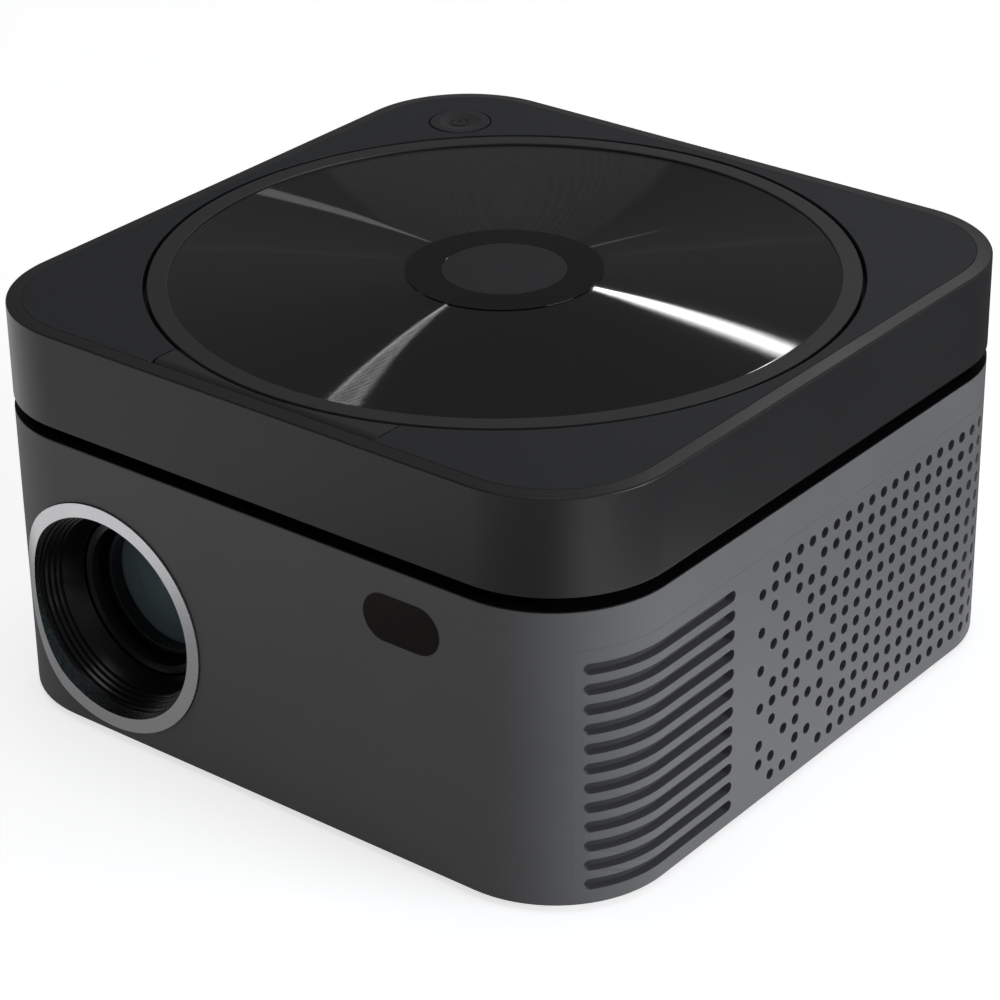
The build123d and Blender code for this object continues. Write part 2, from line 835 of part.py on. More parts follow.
with BuildPart() as top_plate:
    with BuildSketch(Plane.XY.offset(plate_base)):
        outline(rim_width)
        Circle(lid_hole_radius, mode=Mode.SUBTRACT)
        with Locations((tab_middle, -half_side)):
            Rectangle(tab_width, 2 * tab_reach, mode=Mode.SUBTRACT)
        with Locations((button_x, button_y)):
            Circle(button_radius + button_gap, mode=Mode.SUBTRACT)
    extrude(amount=plate_thickness)
    # hinge ears under the plate, one on each side of the lid's tab
    with BuildSketch(Plane.XY.offset(ear_base)):
        with Locations((tab_left - hinge_ear_width / 2, hinge_y), (tab_right + hinge_ear_width / 2, hinge_y)):
            Rectangle(hinge_ear_width, hinge_ear_depth)
    extrude(amount=hinge_ear_drop)
    with BuildSketch(Plane.YZ.offset(tab_left - hinge_pin_sink)):
        with Locations((hinge_y, hinge_z)):
            Circle(hinge_pin_radius)
    extrude(amount=tab_width + 2 * hinge_pin_sink, mode=Mode.SUBTRACT)

with BuildPart() as hinge_pin:
    with BuildSketch(Plane.YZ.offset(tab_left - hinge_pin_sink)):
        with Locations((hinge_y, hinge_z)):
            Circle(hinge_pin_radius)
    extrude(amount=tab_width + 2 * hinge_pin_sink)

# ================================================================ lid

lid_plate_top = plate_top - lid_plate_sink
lid_seat = lid_plate_top - lid_plate_thickness

with BuildPart() as lid_frame:
    with BuildSketch(Plane.XY.offset(lid_base)):
        Circle(lid_radius)
    extrude(amount=lid_thickness)
    # tab that reaches the hinge
    with BuildSketch(Plane.XY.offset(lid_base)):
        with Locations((tab_middle, (hinge_y + tab_root) / 2)):
            Rectangle(tab_width - 2 * loose_gap, tab_root - hinge_y)
    extrude(amount=lid_thickness)
    with BuildSketch(Plane.YZ.offset(tab_left + loose_gap)):
        with Locations((hinge_y, hinge_z)):
            Circle(hinge_radius)
    extrude(amount=tab_width - 2 * loose_gap)
    # groove that carries the lid's round outline across the tab
    with BuildSketch(Plane.XY.offset(plate_top - tab_groove_depth)):
        Circle(lid_hole_radius)
        Circle(lid_radius, mode=Mode.SUBTRACT)
    extrude(amount=tab_groove_depth + 1, mode=Mode.SUBTRACT)
    # seat of the patterned disc
    with BuildSketch(Plane.XY.offset(lid_seat)):
        Circle(lid_plate_radius)
    extrude(amount=lid_thickness, mode=Mode.SUBTRACT)
    # relief over the turntable's hub and a ring pocket under the disc
    with BuildSketch(Plane.XY.offset(lid_base)):
        Circle(hub_clear_radius)
    extrude(amount=hub_clear_depth, mode=Mode.SUBTRACT)
    with BuildSketch(Plane.XY.offset(lid_base)):
        Circle(lid_ledge_radius)
        Circle(lid_pocket_inner, mode=Mode.SUBTRACT)
        with PolarLocations((lid_ledge_radius + lid_pocket_inner) / 2, lid_rib_count):
            Rectangle(lid_ledge_radius - lid_pocket_inner + lid_rib_width, lid_rib_width, mode=Mode.SUBTRACT)
    extrude(amount=lid_pocket_depth, mode=Mode.SUBTRACT)
    # bore for the hinge pin
    with BuildSketch(Plane.YZ.offset(tab_left)):
        with Locations((hinge_y, hinge_z)):
            Circle(hinge_pin_radius + running_gap)
    extrude(amount=tab_width, mode=Mode.SUBTRACT)

with BuildPart() as lid_plate:
    with BuildSketch(Plane.XY.offset(lid_seat)):
        Circle(lid_plate_radius)
        Circle(hub_ring_radius, mode=Mode.SUBTRACT)
    extrude(amount=lid_plate_thickness)

with BuildPart() as hub_ring:
    with BuildSketch(Plane.XY.offset(lid_seat)):
        Circle(hub_ring_radius)
    extrude(amount=plate_top - lid_seat)
    with BuildSketch(Plane.XY.offset(plate_top - hub_badge_thickness)):
        Circle(hub_badge_radius)
    extrude(amount=hub_badge_thickness, mode=Mode.SUBTRACT)

with BuildPart() as hub_badge:
    with BuildSketch(Plane.XY.offset(plate_top - hub_badge_thickness)):
        Circle(hub_badge_radius)
    extrude(amount=hub_badge_thickness)

with BuildPart() as lid_striker:
    with BuildSketch(Plane.XY.offset(lid_base - striker_length)):
        with Locations((0, striker_y)):
            Rectangle(striker_width, striker_thickness)
    extrude(amount=striker_length)
    with BuildSketch(Plane.XY.offset(lid_base - striker_length)):
        with Locations((0, striker_y)):
            Rectangle(striker_width, striker_thickness + 2 * striker_bead)
    extrude(amount=2 * striker_bead)
    with BuildSketch(Plane.XY.offset(lid_base - striker_foot)):
        with Locations((0, striker_y)):
            Rectangle(striker_width + 2 * striker_foot, striker_thickness + 2 * striker_foot)
    extrude(amount=striker_foot)

# ================================================================ latch

with BuildPart() as latch_housing:
    with BuildSketch(Plane.XY.offset(latch_base)):
        with Locations((0, striker_y)):
            Rectangle(latch_width, latch_depth)
    extrude(amount=well_shelf_base - latch_base)
    with BuildSketch(Plane.XY.offset(latch_floor)):
        with Locations((0, striker_y)):
            Rectangle(plunger_width + 2 * plunger_gap, plunger_depth + 2 * plunger_gap)
    extrude(amount=well_shelf_base - latch_floor, mode=Mode.SUBTRACT)

with BuildPart() as latch_plunger:
    with BuildSketch(Plane.XY.offset(plunger_base)):
        with Locations((0, striker_y)):
            Rectangle(plunger_width, plunger_depth)
    extrude(amount=well_shelf_base - plunger_top_gap - plunger_base)
    with BuildSketch(Plane.XY.offset(plunger_base + plunger_wall)):
        with Locations((0, striker_y)):
            Rectangle(pocket_width, pocket_depth)
    extrude(amount=claw_height, mode=Mode.SUBTRACT)
    # side windows that leave two springy claws
    with BuildSketch(Plane.YZ):
        with Locations((striker_y, plunger_base + plunger_wall + claw_height / 2)):
            Rectangle(pocket_depth, claw_height)
    extrude(amount=plunger_width, both=True, mode=Mode.SUBTRACT)

# ================================================================ power button

with BuildPart() as power_button:
    with BuildSketch(Plane.XY.offset(button_flange_base)):
        with Locations((button_x, button_y)):
            Circle(button_radius + button_flange)
    extrude(amount=button_flange_thickness)
    with BuildSketch(Plane.XY.offset(button_flange_top)):
        with Locations((button_x, button_y)):
            Circle(button_radius)
    extrude(amount=button_top - button_flange_top)
    chamfer(power_button.edges().group_by(Axis.Z)[-1], button_chamfer)
    with BuildSketch(Plane.XY.offset(button_stem_base)):
        with Locations((button_x, button_y)):
            Circle(button_stem_radius)
    extrude(amount=button_stem_length)
    # shallow dish for the fingertip
    dish_sphere = (button_dish_radius ** 2 + button_dish_depth ** 2) / (2 * button_dish_depth)
    with Locations((button_x, button_y, button_top - button_dish_depth + dish_sphere)):
        Sphere(dish_sphere, mode=Mode.SUBTRACT)

with BuildPart() as key_board:
    with BuildSketch(Plane.XY.offset(key_board_base)):
        with Locations((button_x, button_y)):
            Rectangle(key_board_size, key_board_size / 2)
    extrude(amount=board_thickness)
    with BuildSketch(Plane.XY.offset(key_board_top)):
        with Locations((button_x, button_y)):
            Rectangle(key_switch_size, key_switch_size)
    extrude(amount=key_switch_height)
    with BuildSketch(Plane.XY.offset(key_board_top + key_switch_height)):
        with Locations((button_x, button_y)):
            Circle(key_cap_radius)
    extrude(amount=key_cap_height)

# ================================================================ disc deck

with BuildPart() as disc_well:
    recess_outer = disc_recess_radius + well_floor_thickness
    with BuildSketch(Plane.XZ):
        Polygon((well_hub_hole, well_floor_base), (recess_outer, well_floor_base),
                (recess_outer, well_shelf_base), (well_wall_outer, well_shelf_base),
                (well_wall_outer, plate_base), (well_wall_inner, plate_base),
                (well_wall_inner, well_shelf_top), (disc_recess_radius, well_shelf_top),
                (disc_recess_radius, well_floor_top), (well_hub_hole, well_floor_top), align=None)
    revolve(axis=Axis.Z)
    # window for the pickup's lens
    window_end = lens_home + sled_travel + actuator_size / 2 + pickup_window_gap
    with BuildSketch(Plane.XY.offset(well_floor_base)):
        with Locations((window_end / 2, 0)):
            RectangleRounded(window_end, actuator_size + 2 * pickup_window_gap, pickup_window_corner)
    extrude(amount=well_floor_thickness, mode=Mode.SUBTRACT)
    # finger notches on opposite sides of the disc, each with a wall round it and a floor
    with BuildSketch(Plane.XY.offset(well_floor_top)):
        with PolarLocations(disc_recess_radius, 2, start_angle=finger_notch_turn):
            Circle(finger_notch_radius)
    extrude(amount=well_shelf_top - well_floor_top, mode=Mode.SUBTRACT)
    with BuildSketch(Plane.XY.offset(well_floor_base)):
        with PolarLocations(disc_recess_radius, 2, start_angle=finger_notch_turn):
            Circle(finger_notch_radius + well_floor_thickness)
            Circle(finger_notch_radius, mode=Mode.SUBTRACT)
        Circle(disc_recess_radius + well_floor_thickness / 2, mode=Mode.SUBTRACT)
    extrude(amount=well_shelf_base - well_floor_base)
    with BuildSketch(Plane.XY.offset(well_floor_base)):
        with PolarLocations(disc_recess_radius, 2, start_angle=finger_notch_turn):
            Circle(finger_notch_radius + well_floor_thickness / 2)
        Circle(disc_recess_radius + well_floor_thickness / 2, mode=Mode.SUBTRACT)
    extrude(amount=well_floor_thickness)
    # room for the hinge and the lid's tab
    with BuildSketch(Plane.XY.offset(ear_base - loose_gap)):
        with Locations((tab_middle, -half_side)):
            Rectangle(hinge_width + hinge_room, 2 * hinge_reach)
    extrude(amount=plate_thickness + hinge_ear_drop, mode=Mode.SUBTRACT)
    with BuildSketch(Plane.XY.offset(well_shelf_top)):
        with Locations((tab_middle, -half_side)):
            Rectangle(hinge_width + hinge_room, 2 * tab_reach)
    extrude(amount=plate_base - well_shelf_top, mode=Mode.SUBTRACT)
    # hole for the lid's striker
    with BuildSketch(Plane.XY.offset(well_shelf_base)):
        with Locations((0, striker_y)):
            Rectangle(plunger_width + 2 * plunger_gap, plunger_depth + 2 * plunger_gap)
    extrude(amount=well_floor_thickness, mode=Mode.SUBTRACT)

with BuildPart() as turntable:
    with BuildSketch(Plane.XZ):
        hub_top = disc_seat + disc_hub_height
        spindle_base = chassis_top + spindle_lift
        Polygon((0, spindle_base), (spindle_radius, spindle_base),
                (spindle_radius, disc_seat - turntable_thickness),
                (turntable_radius, disc_seat - turntable_thickness), (turntable_radius, disc_seat),
                (disc_hub_radius, disc_seat), (disc_hub_radius, hub_top - disc_hub_chamfer),
                (disc_hub_radius - disc_hub_chamfer, hub_top), (0, hub_top), align=None)
    revolve(axis=Axis.Z)
    # seat of the rubber ring
    with BuildSketch(Plane.XY.offset(disc_seat - turntable_pad_thickness)):
        Circle(turntable_pad_outer)
        Circle(turntable_pad_inner, mode=Mode.SUBTRACT)
    extrude(amount=turntable_pad_thickness, mode=Mode.SUBTRACT)
    jaw_reach = disc_hub_radius + jaw_stand - jaw_radius
    jaw_level = disc_seat + disc_hub_height / 2
    with BuildSketch(Plane.XY.offset(jaw_level - jaw_radius - running_gap)):
        with PolarLocations(jaw_reach + jaw_radius, jaw_count):
            Rectangle(4 * jaw_radius, 2 * (jaw_radius + running_gap))
    extrude(amount=2 * (jaw_radius + running_gap), mode=Mode.SUBTRACT)

with BuildPart() as turntable_pad:
    with BuildSketch(Plane.XY.offset(disc_seat - turntable_pad_thickness)):
        Circle(turntable_pad_outer)
        Circle(turntable_pad_inner, mode=Mode.SUBTRACT)
    extrude(amount=turntable_pad_thickness)

with BuildPart() as centring_balls:
    with PolarLocations(jaw_reach, jaw_count):
        with Locations((0, 0, jaw_level)):
            Sphere(jaw_radius)

with BuildPart() as spindle_motor:
    with BuildSketch(Plane.XY.offset(chassis_top)):
        Circle(spindle_motor_radius)
        Circle(spindle_radius + running_gap, mode=Mode.SUBTRACT)
    extrude(amount=spindle_motor_height)
    chamfer(spindle_motor.edges().group_by(Axis.Z)[-1].sort_by(SortBy.LENGTH)[-1], spindle_motor_chamfer)

with BuildPart() as traverse_chassis:
    with BuildSketch(Plane.XY.offset(chassis_base)):
        with Locations(((chassis_left + chassis_right) / 2, 0)):
            RectangleRounded(chassis_right - chassis_left, 2 * chassis_half_depth, chassis_corner)
        with Locations(((sled_start + rod_end) / 2, 0)):
            RectangleRounded(rod_end - sled_start - 2 * chassis_bridge, 2 * (sled_half_depth - chassis_lip),
                             chassis_corner / 2, mode=Mode.SUBTRACT)
        with Locations(((chassis_left + chassis_right) / 2, 0)):
            with GridLocations(chassis_right - chassis_left - 2 * damper_inset,
                               2 * (chassis_half_depth - damper_inset), 2, 2):
                Circle(damper_neck, mode=Mode.SUBTRACT)
    extrude(amount=chassis_thickness)
    # bent tabs that hold the rods, the lead screw and its motor
    rod_tab_height = rod_z + rod_radius + rod_tab_thickness - chassis_top
    with BuildSketch(Plane.XY.offset(chassis_top)):
        with Locations(*[(x, y) for x in (rod_start + rod_tab_thickness / 2, rod_end - rod_tab_thickness / 2)
                         for y in (-rod_y, rod_y, screw_y)]):
            Rectangle(rod_tab_thickness, rod_tab_width)
    extrude(amount=rod_tab_height)
    with BuildSketch(Plane.YZ.offset(rod_start)):
        with Locations((-rod_y, rod_z), (rod_y, rod_z)):
            Circle(rod_radius)
        with Locations((screw_y, rod_z)):
            Circle(screw_journal + running_gap)
    extrude(amount=rod_end - rod_start, mode=Mode.SUBTRACT)

with BuildPart() as guide_rods:
    with BuildSketch(Plane.YZ.offset(rod_start)):
        with Locations((-rod_y, rod_z), (rod_y, rod_z)):
            Circle(rod_radius)
    extrude(amount=rod_end - rod_start)

with BuildPart() as damper_grommets:
    damper_places = [(x, sy * (chassis_half_depth - damper_inset))
                     for x in (chassis_left + damper_inset, chassis_right - damper_inset) for sy in (-1, 1)]
    with BuildSketch(Plane.XY.offset(upper_base)):
        with Locations(*damper_places):
            Circle(damper_radius)
    extrude(amount=chassis_base - upper_base)
    with BuildSketch(Plane.XY.offset(chassis_base)):
        with Locations(*damper_places):
            Circle(damper_neck)
    extrude(amount=chassis_thickness)
    with BuildSketch(Plane.XY.offset(chassis_top)):
        with Locations(*damper_places):
            Circle(damper_radius)
    extrude(amount=damper_cap)

with BuildPart() as lead_screw:
    with BuildSketch(Plane.YZ.offset(rod_start + rod_tab_thickness + screw_end_gap)):
        with Locations((screw_y, rod_z)):
            Circle(screw_radius)
    extrude(amount=rod_end - rod_start - 2 * (rod_tab_thickness + screw_end_gap))
    with BuildSketch(Plane.YZ.offset(rod_start - screw_tail)):
        with Locations((screw_y, rod_z)):
            Circle(screw_journal)
    extrude(amount=rod_end - rod_start + screw_tail)

with BuildPart() as sled_motor:
    with BuildSketch(Plane.YZ.offset(rod_start)):
        with Locations((screw_y, rod_z)):
            Circle(sled_motor_radius)
    extrude(amount=-sled_motor_length)
    with BuildSketch(Plane.YZ.offset(rod_start)):
        with Locations((screw_y, rod_z)):
            Circle(screw_journal + running_gap)
    extrude(amount=-2 * screw_tail, mode=Mode.SUBTRACT)

with BuildPart() as pickup_sled:
    with BuildSketch(Plane.XY.offset(sled_base)):
        with Locations((sled_start + sled_length / 2, 0)):
            RectangleRounded(sled_length, 2 * sled_half_depth, sled_corner)
    extrude(amount=sled_top - sled_base)
    # bushes on the rods, and the webs that carry them
    with BuildSketch(Plane.YZ.offset(sled_start + bush_inset)):
        with Locations((-rod_y, rod_z), (rod_y, rod_z)):
            Circle(rod_radius + bush_wall)
        for side in (-1, 1):
            with Locations((side * (rod_y + sled_half_depth) / 2, rod_z)):
                Rectangle(rod_y - sled_half_depth + bush_wall, bush_web)
    extrude(amount=sled_length - 2 * bush_inset)
    # arm with the follower that rides over the screw
    with BuildSketch(Plane.YZ.offset(sled_start + follower_inset)):
        with Locations(((screw_y - rod_y) / 2, rod_z + screw_radius + follower_gap + follower_thickness / 2)):
            Rectangle(-screw_y - rod_y + 2 * follower_thickness, follower_thickness)
    extrude(amount=follower_width)
    # cover of the lens actuator
    with BuildSketch(Plane.XY.offset(sled_top)):
        with Locations((lens_home, 0)):
            RectangleRounded(actuator_size, actuator_size, actuator_corner)
    extrude(amount=actuator_top - sled_top)
    with BuildSketch(Plane.YZ.offset(sled_start)):
        with Locations((-rod_y, rod_z), (rod_y, rod_z)):
            Circle(rod_radius + running_gap)
    extrude(amount=sled_length, mode=Mode.SUBTRACT)

with BuildPart() as objective_lens:
    with BuildSketch(Plane.XY.offset(actuator_top)):
        with Locations((lens_home, 0)):
            Circle(objective_radius)
    extrude(amount=objective_rise)
    fillet(objective_lens.edges().group_by(Axis.Z)[-1], objective_fillet)

# ================================================================ front: bezel, baffle, lens

with BuildPart() as lens_bezel:
    with BuildSketch(Plane.XZ.offset(bezel_back)):
        with Locations((lens_x, lens_z)):
            Circle(bezel_outer)
            Circle(bezel_inner, mode=Mode.SUBTRACT)
    extrude(amount=half_side + 2 * bezel_stand - bezel_back)
    # the ring's face follows the case, and stands a little proud of it
    with BuildSketch(Plane.XY):
        outline(-bezel_stand)
    extrude(amount=lower_top, mode=Mode.INTERSECT)

with BuildPart() as lens_baffle:
    rib_pitch = baffle_length / (baffle_rib_count * 2)
    slope = (bezel_inner - baffle_back_radius) / baffle_length

    def funnel_radius(y):
        return baffle_back_radius + slope * (y - baffle_back)

    inner = [(funnel_radius(baffle_front) - fit_gap, -baffle_front)]
    for rib in range(baffle_rib_count):
        rib_front = baffle_front - rib_pitch * (rib + baffle_rib_start)
        rib_back = rib_front - rib_pitch / 2
        crest = funnel_radius(rib_front) - baffle_rib_depth
        inner += [(funnel_radius(rib_front), -rib_front), (crest, -rib_front),
                  (crest, -rib_back), (funnel_radius(rib_back), -rib_back)]
    inner += [(baffle_back_radius, -baffle_back)]
    with BuildSketch(lens_plane):
        Polygon(*inner, (baffle_back_radius + baffle_wall, -baffle_back),
                (bezel_inner, -bezel_back + baffle_lip), (bezel_inner, -baffle_front), align=None)
        # flange that seats behind the bezel
        Polygon((bezel_inner - baffle_lip, -bezel_back + baffle_flange),
                (bezel_inner - baffle_lip, -bezel_back), (bezel_outer, -bezel_back),
                (bezel_outer, -bezel_back + baffle_flange), align=None)
    revolve(axis=lens_axis)

with BuildPart() as focus_ring:
    with BuildSketch(lens_plane):
        Polygon((focus_lip, -focus_front), (focus_outer - focus_chamfer, -focus_front),
                (focus_outer, -focus_front + focus_chamfer), (focus_outer, -focus_back),
                (focus_inner, -focus_back), (focus_inner, -focus_front + focus_lip_depth),
                (focus_lip, -focus_front + focus_lip_depth - focus_chamfer), align=None)
    revolve(axis=lens_axis)
    # notches for the fingertip round the front rim
    with BuildSketch(Plane.XZ.offset(focus_front)):
        with Locations((lens_x, lens_z)):
            with PolarLocations(focus_outer, focus_notch_count):
                Circle(focus_notch_radius)
    extrude(amount=-focus_notch_length, mode=Mode.SUBTRACT)

sleeve_outer = focus_inner - running_gap
sleeve_inner = sleeve_outer - sleeve_wall
cell_outer = sleeve_inner - running_gap

with BuildPart() as lens_sleeve:
    with BuildSketch(lens_plane):
        Polygon((sleeve_inner, -sleeve_front), (sleeve_outer, -sleeve_front),
                (sleeve_outer, -engine_back - sleeve_flange_thickness),
                (sleeve_flange_radius, -engine_back - sleeve_flange_thickness),
                (sleeve_flange_radius, -engine_back), (sleeve_inner, -engine_back), align=None)
    revolve(axis=lens_axis)

with BuildPart() as lens_cell:
    with BuildSketch(lens_plane):
        Polygon((glass_radius, -cell_front), (cell_outer - cell_chamfer, -cell_front),
                (cell_outer, -cell_front + cell_chamfer), (cell_outer, -cell_back),
                (cell_stop_radius, -cell_back), (cell_stop_radius, -glass_back),
                (glass_radius, -glass_back), align=None)
    revolve(axis=lens_axis)

with BuildPart() as front_lens:
    rise = glass_front - glass_rim
    bulge = (glass_radius ** 2 + rise ** 2) / (2 * rise)
    with BuildSketch(lens_plane):
        with BuildLine():
            RadiusArc((0, -glass_front), (glass_radius, -glass_rim), bulge)
            Line((glass_radius, -glass_rim), (glass_radius, -glass_back))
            Line((glass_radius, -glass_back), (0, -glass_back))
            Line((0, -glass_back), (0, -glass_front))
        make_face()
    revolve(axis=lens_axis)

with BuildPart() as ir_window:
    with BuildSketch(Plane.XZ.offset(half_side)):
        with Locations((window_x, window_z)):
            SlotOverall(window_width, window_height)
    extrude(amount=-wall)
    with BuildSketch(Plane.XZ.offset(half_side - wall)):
        with Locations((window_x, window_z)):
            SlotOverall(window_width + 2 * window_flange, window_height + 2 * window_flange)
    extrude(amount=-window_flange_thickness)

with BuildPart() as receiver_board:
    with BuildSketch(Plane.XZ.offset(half_side - wall - receiver_gap)):
        with Locations((window_x, window_z)):
            Rectangle(receiver_board_width, receiver_board_height)
    extrude(amount=-board_thickness)
    with BuildSketch(Plane.XZ.offset(half_side - wall - receiver_gap)):
        with Locations((window_x, window_z)):
            Rectangle(receiver_size, receiver_size)
    extrude(amount=receiver_gap - window_flange_thickness - receiver_air)

# ================================================================ projection engine

# the case's slanted wall backs the mirror, which stands at 45 degrees across the lens axis
mirror_offset = (mirror_thickness + engine_wall) * sqrt(2) - lens_x
engine_outline = [(engine_left, engine_front), (panel_plane_x - engine_taper, engine_front),
                  (lamp_x, -lamp_half), (lamp_x, lamp_half), (panel_plane_x - engine_taper, engine_back),
                  (engine_back - mirror_offset, engine_back), (engine_left, engine_left + mirror_offset)]

with BuildPart() as engine_case:
    with BuildSketch(Plane.XY.offset(engine_base)):
        Polygon(*engine_outline, align=None)
    extrude(amount=engine_top - engine_base)
    with BuildSketch(Plane.XY.offset(engine_base + engine_wall)):
        Polygon(*engine_outline, align=None)
        offset(amount=-engine_wall, kind=Kind.INTERSECTION, mode=Mode.REPLACE)
    extrude(amount=engine_top - engine_base, mode=Mode.SUBTRACT)
    # way out to the projection lens, and the seat of the lamp
    with BuildSketch(Plane.XZ.offset(-engine_front)):
        with Locations((lens_x, lens_z)):
            Circle(sleeve_inner)
    extrude(amount=-engine_wall, mode=Mode.SUBTRACT)
    with BuildSketch(Plane.YZ.offset(lamp_x)):
        with Locations((0, lens_z)):
            Rectangle(lamp_window, lamp_window)
    extrude(amount=-engine_wall, mode=Mode.SUBTRACT)

with BuildPart() as engine_cover:
    with BuildSketch(Plane.XY.offset(engine_top)):
        Polygon(*engine_outline, align=None)
    extrude(amount=engine_wall)

with BuildPart() as lcd_panel:
    with BuildSketch(Plane.YZ.offset(panel_plane_x - lcd_thickness / 2)):
        with Locations((0, engine_base + engine_wall + lcd_height / 2)):
            Rectangle(lcd_width, lcd_height)
    extrude(amount=lcd_thickness)

with BuildPart() as fresnel_lenses:
    for side in (-1, 1):
        with BuildSketch(Plane.YZ.offset(panel_plane_x + side * fresnel_offset - fresnel_thickness / 2)):
            with Locations((0, engine_base + engine_wall + lcd_height / 2)):
                Rectangle(lcd_width - side * fresnel_step, lcd_height)
        extrude(amount=fresnel_thickness)

with BuildPart() as condenser_lens:
    with Locations((condenser_x, 0, lens_z)):
        Cylinder(condenser_radius, condenser_thickness, rotation=(0, 90, 0))
    fillet(condenser_lens.edges().group_by(Axis.X)[0], condenser_fillet)
    with BuildSketch(Plane.XY.offset(engine_base + engine_wall)):
        with Locations((condenser_x, 0)):
            Rectangle(condenser_foot, condenser_foot_width)
    extrude(amount=lens_z - condenser_radius - engine_base - engine_wall + condenser_foot_sink)

with BuildPart() as fold_mirror:
    with BuildSketch(mirror_plane):
        with Locations((0, mirror_thickness / 2)):
            Rectangle(mirror_length, mirror_thickness)
    extrude(amount=mirror_height)

with BuildPart() as led_module:
    with BuildSketch(Plane.YZ.offset(lamp_x)):
        with Locations((0, lens_z)):
            Rectangle(lamp_plate, lamp_plate)
    extrude(amount=lamp_plate_thickness)
    with BuildSketch(Plane.YZ.offset(lamp_x)):
        with Locations((0, lens_z)):
            Rectangle(emitter_size, emitter_size)
    extrude(amount=-emitter_height)

with BuildPart() as heat_sink:
    with BuildSketch(Plane.YZ.offset(sink_x)):
        with Locations((0, lens_z)):
            Rectangle(sink_width, sink_height)
    extrude(amount=sink_base)
    fin_pitch = (sink_width - fin_thickness) / (fin_count - 1)
    with BuildSketch(Plane.YZ.offset(sink_x + sink_base)):
        with Locations((0, lens_z)):
            with GridLocations(fin_pitch, 0, fin_count, 1):
                Rectangle(fin_thickness, sink_height)
    extrude(amount=sink_length - sink_base)
    with BuildSketch(Plane.XY.offset(base_top)):
        with Locations((sink_x + sink_base / 2, -sink_foot_reach), (sink_x + sink_base / 2, sink_foot_reach)):
            Rectangle(sink_base, sink_foot_width)
    extrude(amount=lens_z - sink_height / 2 - base_top)

# ================================================================ fan and speaker

fan_front = fan_x + fan_thickness

with BuildPart() as fan_frame:
    with BuildSketch(Plane.YZ.offset(fan_x)):
        with Locations((fan_y, fan_z)):
            RectangleRounded(fan_size, fan_size, fan_corner)
            Circle(fan_bore, mode=Mode.SUBTRACT)
            with GridLocations(fan_size - 2 * fan_screw_inset, fan_size - 2 * fan_screw_inset, 2, 2):
                Circle(fan_screw_hole, mode=Mode.SUBTRACT)
    extrude(amount=fan_thickness)
    # motor plate and its struts
    with BuildSketch(Plane.YZ.offset(fan_x)):
        with Locations((fan_y, fan_z)):
            Circle(fan_hub_radius)
            Rectangle(2 * fan_bore + fan_strut_sink, fan_strut)
            Rectangle(fan_strut, 2 * fan_bore + fan_strut_sink)
            Circle(fan_shaft_radius + running_gap, mode=Mode.SUBTRACT)
    extrude(amount=fan_back)

with BuildPart() as fan_impeller:
    impeller_back = fan_x + fan_back + fan_running_gap
    impeller_length = fan_front - impeller_back - fan_front_gap
    blade_chord = fan_blade_share * impeller_length
    with BuildSketch(Plane.YZ.offset(impeller_back)):
        with Locations((fan_y, fan_z)):
            Circle(fan_hub_radius)
    extrude(amount=impeller_length)
    with BuildSketch(Plane.YZ.offset(fan_x + fan_shaft_gap)):
        with Locations((fan_y, fan_z)):
            Circle(fan_shaft_radius)
    extrude(amount=impeller_back - fan_x - fan_shaft_gap)
    # twisted blades, steeper at the root than at the tip
    for blade in range(fan_blade_count):
        turn = 2 * pi * blade / fan_blade_count
        outward = Vector(0, cos(turn), sin(turn))
        centre = Vector(impeller_back + impeller_length / 2, fan_y, fan_z)
        for reach, pitch in ((fan_hub_radius - fan_blade_root, fan_root_pitch),
                             (fan_blade_radius - fan_blade_tip_gap, fan_tip_pitch)):
            with BuildSketch(Plane(origin=centre + outward * reach, x_dir=(1, 0, 0), z_dir=outward)):
                Rectangle(blade_chord, fan_blade_thickness, rotation=90 - pitch)
        loft()

with BuildPart() as speaker:
    cone_back = speaker_back + magnet_height + speaker_surround
    with BuildSketch(Plane(origin=(0, speaker_y, speaker_z))):
        Polygon((speaker_front, speaker_radius), (speaker_front - speaker_rim, speaker_radius),
                (speaker_back + magnet_height, magnet_radius), (speaker_back, magnet_radius),
                (speaker_back, 0), (cone_back, 0), (cone_back, speaker_coil_radius),
                (speaker_front - speaker_dip, speaker_radius - speaker_rim_width - speaker_surround),
                (speaker_front, speaker_radius - speaker_rim_width), align=None)
    revolve(axis=Axis((0, speaker_y, speaker_z), (1, 0, 0)))

# ================================================================ boards and sockets

board_back = main_board_y + board_thickness
socket_back = half_side + socket_stand
wall_inner = half_side - wall

with BuildPart() as main_board:
    with BuildSketch(Plane.XZ.offset(-main_board_y)):
        with Locations(((main_board_left + main_board_right) / 2, (base_top + main_board_top) / 2)):
            Rectangle(main_board_right - main_board_left, main_board_top - base_top)
    extrude(amount=-board_thickness)
    # processor, memory and coils on its inner face, with a row of capacitors at its left end
    with BuildSketch(Plane.XZ.offset(-main_board_y)):
        for from_left, level, width, height in main_chips:
            with Locations((main_board_left + from_left, base_top + level)):
                Rectangle(width, height)
    extrude(amount=main_chip_height)
    with BuildSketch(Plane.XZ.offset(-main_board_y)):
        for level in capacitor_levels:
            with Locations((main_board_left + capacitor_inset, base_top + level)):
                Circle(capacitor_radius)
    extrude(amount=capacitor_height)

